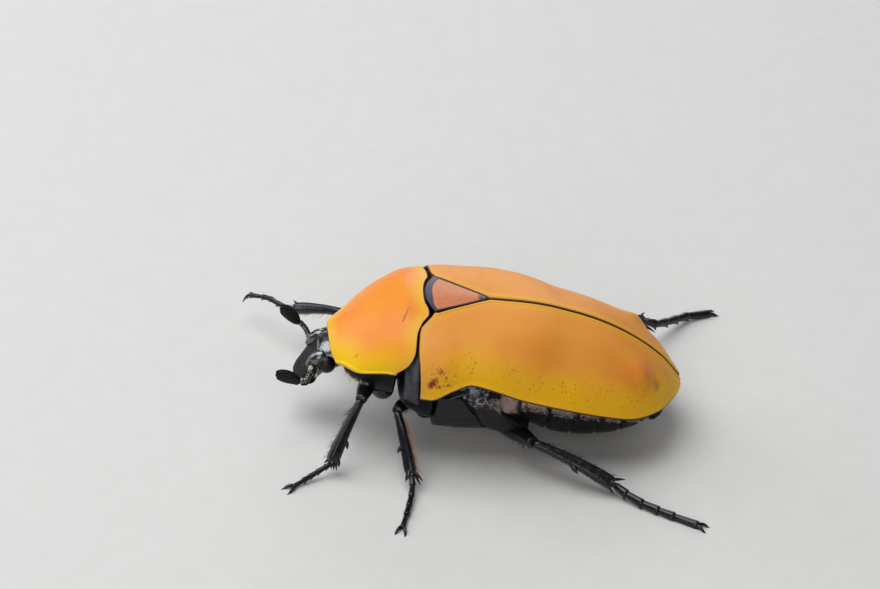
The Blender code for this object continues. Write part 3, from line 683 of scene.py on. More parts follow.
@dataclass(frozen=True)
class WingFinish:
    """Satin orange wing cases with a golden margin, brown seams, fine punctures and painted brown shade in
    the dip behind the callus.
    """

    orange: Colour = (0.73, 0.28, 0.038)
    deep: Colour = (0.705, 0.255, 0.03)
    gold: Colour = (0.84, 0.44, 0.004)
    seam: Colour = (0.09, 0.034, 0.02)
    red: Colour = (0.2, 0.012, 0.008)
    brown: Colour = (0.26, 0.085, 0.012)
    callus: Point = (3.55, 14.35, 7.1)
    dip_shade: Point = (3.1, 15.35, 6.35)
    shoulder: Point = (5.9, 0.9, 7.45)
    spots: tuple[tuple[Point, float], ...] = (
        ((6.11, 0.03, 6.92), 0.27), ((6.05, 0.14, 7.1), 0.34), ((5.96, 0.3, 7.28), 0.3),
        ((5.75, 0.6, 7.9), 0.3), ((5.68, 0.46, 7.98), 0.13), ((5.95, 0.95, 7.58), 0.14),
        ((6.02, 0.96, 7.4), 0.11), ((5.47, 0.04, 8.12), 0.15), ((6.12, 0.92, 7.02), 0.13),
        ((6.11, 1.2, 7.12), 0.12), ((6.13, 0.64, 6.95), 0.1), ((6.15, 0.44, 6.86), 0.1),
        ((5.85, 1.53, 7.72), 0.1))

    def make(self, stance: Stance, marked: bool) -> Material:
        """Build the material.

        Args:
            stance: where the body stands.
            marked: whether this side carries the red blemishes.

        Returns:
            The material.
        """
        graph = Graph("wing_case_marked" if marked else "wing_case", stance)
        outer, inner, front, rear = (graph.measure(name) for name in ("outer", "inner", "front", "rear"))
        cloud = graph.noise(0.35, 3.0)
        grain = graph.noise(2.2, 4.0)
        colour = graph.blend(graph.rise(cloud, 0.35, 0.7), self.orange, self.deep)
        colour = graph.blend(graph.times(graph.near(self.callus, 2.1), 0.55), colour, (0.66, 0.15, 0.02))
        rim = graph.plus(graph.least(outer, graph.plus(rear, 0.4)), graph.times(graph.less(cloud, 0.5), 1.6))
        colour = graph.blend(graph.fall(rim, 0.5, 3.6), colour, self.gold)
        colour = graph.blend(graph.fall(inner, 0.25, 0.95, 0.7), colour, (0.72, 0.36, 0.02))
        colour = graph.blend(graph.fall(front, 0.1, 0.9, 0.55), colour, (0.72, 0.34, 0.05))
        # Painted shade: brown laid into the dip behind the callus.
        dip_shade = graph.near(self.dip_shade, 0.75, graph.times(grain, 0.3))
        colour = graph.blend(graph.times(dip_shade, 0.5), colour, self.brown)
        pits = graph.cells(1.0, graph.measure("lay", "Vector"), (4.3, 3.1, 1.0), 0.45)
        spread = graph.rise(graph.noise(1.4, 3.0), 0.3, 0.6)
        pit = graph.times(graph.fall(pits, 0.14, 0.3), graph.rise(outer, 0.5, 0.9),
                          graph.fall(outer, 1.6, 3.5), spread)
        colour = graph.blend(graph.times(pit, 0.55), colour, self.brown)
        crowd = graph.times(graph.fall(graph.cells(4.5), 0.12, 0.3), graph.near(self.shoulder, 1.9),
                            graph.rise(grain, 0.35, 0.55))
        colour = graph.blend(graph.times(crowd, 0.7), colour, (0.3, 0.06, 0.02))
        if marked:
            streaks = graph.noise(7.0, 4.0, stretch=(1.0, 1.6, 0.7))
            ragged = graph.times(graph.less(streaks, 0.3), 0.55)
            for place, reach in self.spots:
                mark = graph.near(place, reach + 0.16, ragged)
                colour = graph.blend(graph.times(mark, 0.9), colour, self.red)
        edge = graph.least(inner, graph.plus(front, 0.03), graph.less(outer, 0.09))
        colour = graph.blend(graph.fall(edge, 0.06, 0.11), colour, self.seam)
        graph.gloss(0.22)
        normal = graph.relief(graph.less(1.0, pit), 0.00003, graph.relief(grain, 0.000015))
        return graph.close(colour, graph.rise(grain, 0.2, 0.8, (0.38, 0.5)), normal)


@dataclass(frozen=True)
class ShieldFinish:
    """The smooth orange pronotum with its yellow margins."""

    orange: Colour = (0.77, 0.26, 0.024)
    red: Colour = (0.77, 0.215, 0.03)
    yellow: Colour = (0.81, 0.5, 0.004)
    seam: Colour = (0.04, 0.018, 0.012)
    dots: tuple[tuple[Point, float], ...] = (
        ((3.42, -4.86, 6.8), 0.14), ((3.38, -4.73, 6.92), 0.14), ((3.28, -4.93, 7.05), 0.12))

    def make(self, stance: Stance) -> Material:
        """Build the material.

        Args:
            stance: where the body stands.

        Returns:
            The material.
        """
        graph = Graph("pronotum_shell", stance)
        outer, front, rear = (graph.measure(name) for name in ("outer", "front", "rear"))
        cloud = graph.noise(0.3, 2.0)
        grain = graph.noise(2.5, 4.0)
        colour = graph.blend(graph.rise(cloud, 0.35, 0.65), self.orange, self.red)
        wave = graph.times(graph.less(cloud, 0.5), 0.6)
        side = graph.fall(graph.plus(outer, wave), 0.0, 3.3)
        colour = graph.blend(side, colour, self.yellow)
        ends = graph.least(graph.times(front, 1.3), rear)
        colour = graph.blend(graph.fall(ends, 0.2, 1.3, 0.75), colour, (0.78, 0.42, 0.02))
        ragged = graph.times(graph.noise(6.0, 2.0), 0.08)
        for place, reach in self.dots:
            mark = graph.near(place, reach + 0.05, ragged)
            colour = graph.blend(graph.times(mark, 0.5), colour, (0.2, 0.08, 0.01))
        x, y, _ = graph.split()
        slant = graph.plus(y, graph.times(x, 0.36))
        wobble = graph.times(graph.noise(3.0, 3.0), 0.2)
        off = graph.calc("ABSOLUTE", graph.plus(slant, 0.95, wobble))
        ends = graph.rise(x, 1.3, 2.6), graph.fall(x, 2.75, 2.95)
        scratch = graph.times(graph.fall(off, 0.03, 0.12), *ends)
        colour = graph.blend(graph.times(scratch, 0.75), colour, (0.25, 0.07, 0.01))
        edge = graph.least(rear, front, outer)
        colour = graph.blend(graph.fall(edge, 0.05, 0.1), colour, self.seam)
        graph.gloss(0.2)
        return graph.close(colour, graph.rise(grain, 0.2, 0.8, (0.32, 0.42)), graph.relief(grain, 0.00001))


@dataclass(frozen=True)
class PlateFinish:
    """The salmon scutellum inside its slate border."""

    salmon: Colour = (0.54, 0.17, 0.075)
    slate: Colour = (0.05, 0.043, 0.062)

    def make(self, stance: Stance) -> Material:
        """Build the material.

        Args:
            stance: where the body stands.

        Returns:
            The material.
        """
        graph = Graph("scutellum_shell", stance)
        sides, front = graph.measure("outer"), graph.measure("front")
        grain = graph.noise(3.0, 3.0)
        colour = graph.blend(graph.rise(grain, 0.3, 0.7), self.salmon, (0.58, 0.2, 0.058))
        colour = graph.blend(graph.fall(graph.cells(1.6), 0.05, 0.09, 0.8), colour, (0.8, 0.7, 0.62))
        x, y, _ = graph.split()
        narrow = graph.rise(x, 0.3, 1.7, (0.12, -0.14))
        border = graph.least(graph.times(sides, 3.0), graph.less(front, narrow))
        colour = graph.blend(graph.fall(border, 0.3, 0.4), colour, self.slate)
        colour = graph.blend(graph.rise(y, 2.95, 3.15, (0.0, 0.85)), colour, self.slate)
        graph.gloss(0.25)
        return graph.close(colour, 0.34, graph.relief(grain, 0.00002))


@dataclass(frozen=True)
class ChitinFinish:
    """Glossy black shell, smooth, punctured or dusted with pale down, optionally with painted highlight
    lines on the ridges between pits.
    """

    name: str
    roughness: float = 0.2
    pits_per_mm: float = 4.0
    pit_depth: float = 0.03
    pit_share: float = 0.5
    tint: Colour = (0.006, 0.006, 0.008)
    dust: float = 0.0
    dust_colour: Colour = (0.3, 0.22, 0.19)
    dust_above: float | None = None
    specular: float = 0.4
    ior: float = 1.5
    painted_glint: float = 0.0

    def make(self, stance: Stance) -> Material:
        """Build the material.

        Args:
            stance: where the body stands.

        Returns:
            The material.
        """
        graph = Graph(self.name, stance)
        grain = graph.noise(4.0, 4.0)
        pits = graph.rise(graph.cells(self.pits_per_mm), 0.12, 0.4)
        patch = graph.rise(graph.noise(0.8, 2.0), 1.0 - self.pit_share - 0.15, 1.15 - self.pit_share)
        pitted = graph.less(1.0, graph.times(graph.less(1.0, pits), patch))
        colour = graph.blend(graph.rise(grain, 0.35, 0.7), self.tint, tuple(c * 1.7 for c in self.tint))
        if self.dust:
            down = graph.noise(9.0, 3.0, stretch=(1.0, 0.35, 1.0))
            share = graph.times(graph.rise(down, 0.42, 0.62), self.dust)
            if self.dust_above is not None:
                height = graph.plus(graph.split()[2], graph.times(grain, 0.8))
                low = self.dust_above + 0.4
                share = graph.times(share, graph.rise(height, low, low + 0.4))
            colour = graph.blend(share, colour, self.dust_colour)
        # Painted highlight: pale bluish lines on the ridges between pits stand in for glints.
        if self.painted_glint:
            lines = graph.rise(graph.cells(self.pits_per_mm), 0.5, 0.68)
            lines = graph.times(lines, graph.rise(graph.noise(1.6, 3.0), 0.38, 0.58))
            colour = graph.blend(graph.times(lines, self.painted_glint), colour, (0.3, 0.33, 0.4))
        graph.gloss(self.specular, self.ior)
        normal = graph.relief(pitted, self.pit_depth * MM, graph.relief(grain, 0.000012))
        rough = graph.rise(grain, 0.2, 0.8, (self.roughness, self.roughness + 0.14))
        return graph.close(colour, rough, normal)


@dataclass(frozen=True)
class SideFinish:
    """The hind body: black belly plates with pinkish down along the sides, broken at each joint."""

    down: Colour = (0.44, 0.32, 0.28)
    joints: tuple[float, ...] = (6.16, 8.24, 10.2, 11.9, 13.5)

    def make(self, stance: Stance) -> Material:
        """Build the material.

        Args:
            stance: where the body stands.

        Returns:
            The material.
        """
        graph = Graph("hind_body_shell", stance)
        _, y, z = graph.split()
        fibre = graph.noise(7.0, 4.0, stretch=(1.0, 0.5, 1.0))
        grain = graph.noise(4.0, 3.0)
        line = graph.less(graph.times(y, -0.13), -6.0, graph.fall(y, 5.0, 7.0, 0.8))
        height = graph.plus(graph.less(z, line), graph.times(graph.less(fibre, 0.5), 0.9))
        share = graph.rise(height, -0.1, 0.5)
        for joint in self.joints:
            off = graph.calc("ABSOLUTE", graph.less(y, joint))
            share = graph.times(share, graph.rise(off, 0.12, 0.3))
        share = graph.times(share, graph.rise(fibre, 0.25, 0.6, (0.45, 1.0)))
        colour = graph.blend(graph.rise(grain, 0.35, 0.7), (0.006, 0.006, 0.007), (0.012, 0.01, 0.01))
        colour = graph.blend(share, colour, self.down)
        pits = graph.rise(graph.cells(3.0), 0.15, 0.4)
        graph.gloss(0.15)
        normal = graph.relief(pits, 0.00004, graph.relief(fibre, 0.00005))
        return graph.close(colour, graph.rise(share, 0.1, 0.6, (0.24, 0.75)), normal)


@dataclass(frozen=True)
class EyeFinish:
    """A very glossy dark eye with fine facets."""

    def make(self, stance: Stance) -> Material:
        """Build the material.

        Args:
            stance: where the body stands.

        Returns:
            The material.
        """
        graph = Graph("eye_lens", stance)
        facets = graph.cells(16.0, randomness=0.25)
        colour = graph.blend(graph.noise(1.5), (0.004, 0.003, 0.003), (0.008, 0.005, 0.004))
        graph.gloss(0.3)
        normal = graph.relief(graph.fall(facets, 0.2, 0.7), 0.000006)
        return graph.close(colour, 0.1, normal)


@dataclass(frozen=True)
class HairFinish:
    """Fine bristles and down, darker at the root."""

    name: str
    colour: Colour
    root: Colour

    def make(self, stance: Stance) -> Material:
        """Build the material.

        Args:
            stance: where the body stands.

        Returns:
            The material.
        """
        graph = Graph(self.name, stance)
        blend = graph.rise(graph.noise(1.2, 3.0), 0.3, 0.7)
        tip = graph.rise(graph.measure("tip"), 0.0, 0.8)
        shaft = graph.blend(blend, self.colour, tuple(c * 0.7 for c in self.colour))
        colour = graph.blend(tip, self.root, shaft)
        graph.gloss(0.4)
        return graph.close(colour, 0.5, graph.relief(graph.noise(20.0), 0.000005))


@dataclass
class Plate:
    """A thin curved plate: a grid laid on a surface, with rolled rims, a raised bead and a wall."""

    name: str
    rows: int
    columns: int
    surface: Callable[[Array, Array], Array]
    wall: float = 0.3
    roll: float = 0.12
    bead: float = 0.0
    bead_place: float = 0.3
    crowd: float = 0.7
    axis_height: float = 5.0

    def build(self) -> Object:
        """Make the plate.

        Returns:
            The plate in the surface's frame, with its distances to each side as attributes.
        """
        Bench.only()
        bpy.ops.mesh.primitive_grid_add(x_subdivisions=self.rows, y_subdivisions=self.columns, size=1.0)
        piece = Bench.name(self.name)
        flat = np.empty(len(piece.data.vertices) * 3)
        piece.data.vertices.foreach_get("co", flat)
        flat = np.round(flat.reshape(-1, 3), 5)
        order = np.lexsort((flat[:, 1], flat[:, 0]))
        shape = (len(np.unique(flat[:, 0])), len(np.unique(flat[:, 1])))
        even = flat[order, :2] + 0.5
        even = even - self.crowd * np.sin(2.0 * np.pi * even) / (2.0 * np.pi)
        along, across = even[:, 0].reshape(shape), even[:, 1].reshape(shape)
        points = self.surface(along, across)
        sides = self.distances(points)
        normal = np.cross(np.gradient(points, axis=0), np.gradient(points, axis=1))
        normal /= np.maximum(np.linalg.norm(normal, axis=-1, keepdims=True), 1e-9)
        spokes = points - np.array([0.0, 0.0, self.axis_height])
        spokes[..., 1] = 0.0
        normal *= math.copysign(1.0, float(np.sum(normal * spokes)))
        rim = np.minimum.reduce(list(sides.values()))
        inside = np.clip(self.roll - rim, 0.0, self.roll)
        lift = np.sqrt(np.maximum(self.roll ** 2 - inside ** 2, 0.0)) - self.roll
        if self.bead:
            ridge = np.minimum(sides["inner"], sides["outer"])
            lift = lift + self.bead * swell(ridge - self.bead_place, self.bead_place)
        points = points + normal * lift[..., None]
        final = np.empty_like(flat)
        final[order] = points.reshape(-1, 3)
        piece.data.vertices.foreach_set("co", final.ravel())
        for side, distance in sides.items():
            layer = piece.data.attributes.new(side, "FLOAT", "POINT")
            values = np.empty(len(order))
            values[order] = distance.ravel()
            layer.data.foreach_set("value", values)
        layer = piece.data.attributes.new("lay", "FLOAT_VECTOR", "POINT")
        lay = np.zeros_like(flat)
        lay[order, 0] = sides["front"].ravel()
        lay[order, 1] = sides["outer"].ravel()
        lay[order, 2] = 0.5
        layer.data.foreach_set("vector", lay.ravel())
        piece.data.update()
        self.face_out(piece)
        Bench.apply(piece, "SOLIDIFY", thickness=self.wall, offset=-1.0)
        return piece

    def face_out(self, piece: Object) -> None:
        """Turn the faces so that they look away from the body's axis.

        Args:
            piece: the plate.
        """
        middles = np.array([tuple(face.center) for face in piece.data.polygons])
        normals = np.array([tuple(face.normal) for face in piece.data.polygons])
        middles[:, 1] = 0.0
        middles[:, 2] -= self.axis_height
        if float(np.sum(middles * normals)) < 0.0:
            Bench.only(piece)
            bpy.ops.object.mode_set(mode="EDIT")
            bpy.ops.mesh.select_all(action="SELECT")
            bpy.ops.mesh.flip_normals()
            bpy.ops.object.mode_set(mode="OBJECT")

    @staticmethod
    def distances(points: Array) -> dict[str, Array]:
        """How far each grid point lies from each side, measured along the surface.

        Args:
            points: the grid, from front to rear and from inner to outer side.

        Returns:
            The distances by side.
        """
        run = np.linalg.norm(np.diff(points, axis=0), axis=-1)
        front = np.concatenate([np.zeros((1, points.shape[1])), np.cumsum(run, axis=0)])
        run = np.linalg.norm(np.diff(points, axis=1), axis=-1)
        inner = np.concatenate([np.zeros((points.shape[0], 1)), np.cumsum(run, axis=1)], axis=1)
        return {"front": front, "rear": front[-1:] - front, "inner": inner, "outer": inner[:, -1:] - inner}


@dataclass
class Back:
    """The orange back: pronotum, scutellum and wing cases, on the body's own lines."""

    stance: Stance
    elytra_power: Line = Line(((-0.9, 2.35), (1.5, 2.9), (3.5, 3.1), (6.0, 2.75), (9.0, 2.0), (12.0, 2.14),
                               (14.5, 2.45), (17.6, 2.5)))
    pronotum_power: Line = Line(((-6.8, 1.75), (-5.0, 1.82), (-3.5, 2.08), (-2.0, 2.16), (-0.5, 2.36)))
    elytra_ridge: Line = Line(((-0.9, 10.12), (4.0, 10.06), (5.4, 10.06), (6.6, 10.02), (7.8, 9.91),
                               (9.1, 9.68), (10.4, 9.4), (11.6, 9.05), (13.5, 8.28), (16.0, 6.72),
                               (17.6, 5.1)))
    elytra_width: Line = Line(((-0.9, 6.12), (0.4, 6.24), (2.6, 6.08), (4.6, 6.25), (8.0, 6.25),
                               (12.0, 5.7), (14.0, 5.15), (15.7, 4.1), (16.9, 2.45), (17.4, 1.45),
                               (17.6, 0.75)))
    elytra_edge: Line = Line(((-0.9, 5.52), (0.3, 5.72), (1.6, 6.53), (2.8, 7.06), (4.0, 6.92), (6.1, 6.36),
                              (8.8, 5.88), (12.0, 5.19), (14.4, 4.8), (17.6, 4.82)))
    elytra_level: Line = Line(((-0.9, 5.7), (8.0, 5.6), (12.0, 5.0), (14.0, 4.4), (17.6, 3.5)))
    left_front: Line = Line(((0.0, 0.03), (0.05, -0.19), (0.1, -0.45), (0.15, -0.7), (0.2, -0.9),
                             (0.28, -0.97), (0.4, -0.98), (0.5, -0.95), (0.6, -0.86), (0.7, -0.78),
                             (0.8, -0.7), (1.0, -0.56)))
    right_front: Line = Line(((0.0, 0.2), (0.1, -0.08), (0.2, -0.12), (0.4, -0.16), (0.7, -0.35),
                              (1.0, -0.4)))
    pronotum_ridge: Line = Line(((-6.8, 6.56), (-6.2, 6.93), (-5.6, 7.38), (-4.6, 8.31), (-3.0, 9.47),
                                 (-1.6, 10.12), (-0.2, 10.2)))
    pronotum_width: Line = Line(((-6.8, 1.9), (-6.3, 2.36), (-5.6, 3.06), (-4.6, 4.12), (-3.0, 4.9),
                                 (-2.0, 5.27), (-0.2, 5.4)))
    pronotum_level: Line = Line(((-6.8, 5.12), (-5.6, 5.59), (-4.6, 5.87), (-3.0, 6.55), (-2.2, 6.75),
                                 (-1.3, 7.1), (-0.2, 7.3)))
    pronotum_rear: Line = Line(((-1.0, -2.1), (-0.9, -1.0), (-0.78, -0.58), (-0.6, -0.48), (-0.4, -0.42),
                                (-0.3, -0.3), (-0.2, -0.26), (-0.1, -0.52), (0.0, -0.63), (0.1, -0.58),
                                (0.15, -0.44), (0.2, -0.32), (0.25, -0.3), (0.3, -0.48), (0.35, -0.7),
                                (0.4, -0.84), (0.45, -0.96), (0.5, -1.04), (0.6, -1.07), (0.7, -1.08),
                                (0.8, -1.18), (0.9, -1.47), (1.0, -2.5)))
    pronotum_front: Line = Line(((0.0, -6.77), (0.35, -6.64), (0.7, -6.42), (0.85, -6.2), (1.0, -5.9)))
    elytra_end: float = 17.6
    suture_gap: float = 0.05
    plate_half_width: float = 1.95
    plate_front: float = -0.56
    plate_side: float = 0.1
    plate_tip: float = 3.75
    plate_top: float = 10.12

    def elytron(self, along: Array, across: Array, front_line: Line) -> Array:
        """Points of a wing case, as if on the left.

        Args:
            along: shares from front to tip.
            across: shares from the suture to the edge.
            front_line: how far forward the front edge runs.

        Returns:
            The points, in body millimetres.
        """
        front = front_line.at(across)
        travel = np.sin(along * np.pi / 2.0) * 0.55 + along * 0.45
        y = front + (self.elytra_end - front) * travel
        power = self.elytra_power.at(y)
        level, width = self.elytra_level.at(y), self.elytra_width.at(y)
        height = self.elytra_ridge.at(y) - level
        low = np.clip((self.elytra_edge.at(y) - level) / height, 0.0, 1.0)
        edge_turn = np.arccos(low ** (power / 2.0))
        base = width / np.sin(edge_turn) ** (2.0 / power)
        slant = np.clip((self.plate_tip + 0.12 - y) / (self.plate_tip - 0.18), 0.0, 1.0)
        inner = self.suture_gap + (self.plate_half_width + 0.06) * slant
        inner_turn = np.arcsin(np.minimum(1.0, (inner / base) ** (power / 2.0)))
        turn = inner_turn + (edge_turn - inner_turn) * across
        x = base * np.sin(turn) ** (2.0 / power)
        z = level + height * np.clip(np.cos(turn), 0.0, None) ** (2.0 / power)
        callus = 0.3 * swell(np.hypot(x - 3.2, y - 14.3), 1.5)
        shoulder = 0.08 * swell(np.hypot(x - 5.8, y - 0.9), 1.2)
        dip = 0.07 * swell(np.hypot(x - 3.1, y - 15.7), 0.9)
        rib = 0.03 * np.cos(across * 19.0) * fade(y, 1.5, 4.0) * (1.0 - fade(y, 11.0, 14.0))
        lift = callus + shoulder - dip + rib * (1.0 - across)
        return np.stack([x + 0.4 * lift, y + 0.5 * callus, z + 0.8 * lift], axis=-1)

    def pronotum(self, along: Array, across: Array) -> Array:
        """Points of the pronotum.

        Args:
            along: shares from front to rear.
            across: shares from its right side to its left.

        Returns:
            The points, in body millimetres.
        """
        across = 2.0 * across - 1.0
        rear, front = self.pronotum_rear.at(across), self.pronotum_front.at(np.abs(across))
        travel = 0.5 - 0.5 * np.cos(along * np.pi)
        y = front + (rear - front) * (0.5 * travel + 0.5 * along)
        power = self.pronotum_power.at(y)
        turn = np.abs(across) * math.radians(88.0)
        level = self.pronotum_level.at(y)
        x = self.pronotum_width.at(y) * np.sin(turn) ** (2.0 / power)
        z = level + (self.pronotum_ridge.at(y) - level) * np.clip(np.cos(turn), 0.0, None) ** (2.0 / power)
        return np.stack([np.copysign(x, across), y, z], axis=-1)

    def scutellum(self, along: Array, across: Array) -> Array:
        """Points of the triangular plate.

        Args:
            along: shares from its bowed front to its tip.
            across: shares from its right side to its left.

        Returns:
            The points, in body millimetres.
        """
        across = 2.0 * across - 1.0
        front = self.plate_side + (self.plate_front - self.plate_side) * (1.0 - across ** 2)
        y = front + (self.plate_tip - front) * along
        share = np.clip((y - self.plate_side) / (self.plate_tip - self.plate_side), 0.0, 1.0)
        half = self.plate_half_width * (1.0 - along) ** 0.97 + 0.07
        dome = 0.1 * (1.0 - across ** 2) * (1.0 - share)
        return np.stack([across * half, y, self.plate_top + dome - 0.04 * across ** 2], axis=-1)

    def build(self) -> None:
        """Make and mount the four plates."""
        matrix = self.stance.body()
        for side, sign, front in (("left", 1.0, self.left_front), ("right", -1.0, self.right_front)):
            def surface(along: Array, across: Array, sign: float = sign, front: Line = front) -> Array:
                """The wing case on this side."""
                return self.elytron(along, across, front) * np.array([sign, 1.0, 1.0])

            plate = Plate(f"wing_case_{side}", 170, 96, surface, wall=0.32, roll=0.1, bead=0.05,
                          bead_place=0.24)
            finish = WingFinish().make(self.stance, marked=side == "left")
            Bench.mount(plate.build(), matrix, finish, Slot.WING, f"elytron_{side}")
        places = np.linspace(self.plate_tip - 0.3, self.elytra_end - 0.12, 60)
        path = [(0.0, float(y), float(self.elytra_ridge.at(y)) - 0.2) for y in places]
        seam = Bench.rod("suture_strip", path, (0.13, 0.13, 0.12, 0.1), 10, 90, cap=0.05)
        dark = ChitinFinish("suture_shell", roughness=0.4, pits_per_mm=6.0, pit_depth=0.01,
                            tint=(0.03, 0.012, 0.006), specular=0.2).make(self.stance)
        Bench.mount(seam, matrix, dark, Slot.WING)
        shield = Plate("pronotum_shell", 96, 170, self.pronotum, wall=0.34, roll=0.1, bead=0.07,
                       bead_place=0.26).build()
        self.fold_outer(shield)
        Bench.mount(shield, matrix, ShieldFinish().make(self.stance), Slot.SHIELD, "pronotum")
        triangle = Plate("scutellum_shell", 64, 64, self.scutellum, wall=0.25, roll=0.05, crowd=0.5).build()
        self.fold_outer(triangle)
        Bench.mount(triangle, matrix, PlateFinish().make(self.stance), Slot.PLATE, "scutellum")

    @staticmethod
    def fold_outer(piece: Object) -> None:
        """Let the outer distance of a two-sided plate be the nearer of its two sides.

        Args:
            piece: the plate.
        """
        count = len(piece.data.vertices)
        inner, outer = np.empty(count), np.empty(count)
        piece.data.attributes["inner"].data.foreach_get("value", inner)
        piece.data.attributes["outer"].data.foreach_get("value", outer)
        piece.data.attributes["outer"].data.foreach_set("value", np.minimum(inner, outer))


@dataclass
class Trunk:
    """A length of the body: an upright rounded outline carried along its stations."""

    name: str
    stations: Array
    form: Callable[[float], tuple[float, float, float, float]]
    upper_power: float = 2.12
    lower_power: float = 2.3
    sides: int = 72
    end_round: float = 0.3
    ends: tuple[float, float] = (0.25, 0.25)

    def build(self) -> Object:
        """Make the trunk.

        Returns:
            A closed body in body millimetres.
        """
        rings = np.array([self.form(float(y)) for y in self.stations])

        def carry(ring: Array, turn: Array) -> Array:
            """Carry the straight blank onto the body's outline.

            Args:
                ring: each corner's ring number.
                turn: its turn round the ring.

            Returns:
                The corners' places.
            """
            y = self.stations[ring]
            half, top, level, bottom = rings[ring].T
            shrink = self.ends[0] * (1.0 - arc((y - self.stations[0]) / self.end_round))
            shrink = shrink + self.ends[1] * (1.0 - arc((self.stations[-1] - y) / self.end_round))
            upper = np.sin(turn) > 0.0
            power = 2.0 / np.where(upper, self.upper_power, self.lower_power)
            z = level + squared(np.sin(turn), power) * np.where(upper, top - level, level - bottom)
            middle = (top + bottom) / 2.0
            return np.stack([squared(np.cos(turn), power) * half * (1.0 - shrink), y,
                             middle + (z - middle) * (1.0 - shrink)], axis=-1)

        return Bench.blank(self.name, len(self.stations), self.sides, carry)

    def side_x(self, y: Array, z: Array) -> Array:
        """How far out the left flank lies.

        Args:
            y: places along the body.
            z: places up the body.

        Returns:
            The half width there.
        """
        rings = np.array([self.form(float(v)) for v in np.ravel(y)])
        half, top, level, bottom = (rings[:, k].reshape(np.shape(y)) for k in range(4))
        upper = z > level
        power = np.where(upper, self.upper_power, self.lower_power)
        share = np.where(upper, (z - level) / (top - level), (level - z) / (level - bottom))
        return half * np.clip(1.0 - np.clip(share, 0.0, 1.0) ** power, 0.0, 1.0) ** (1.0 / power)


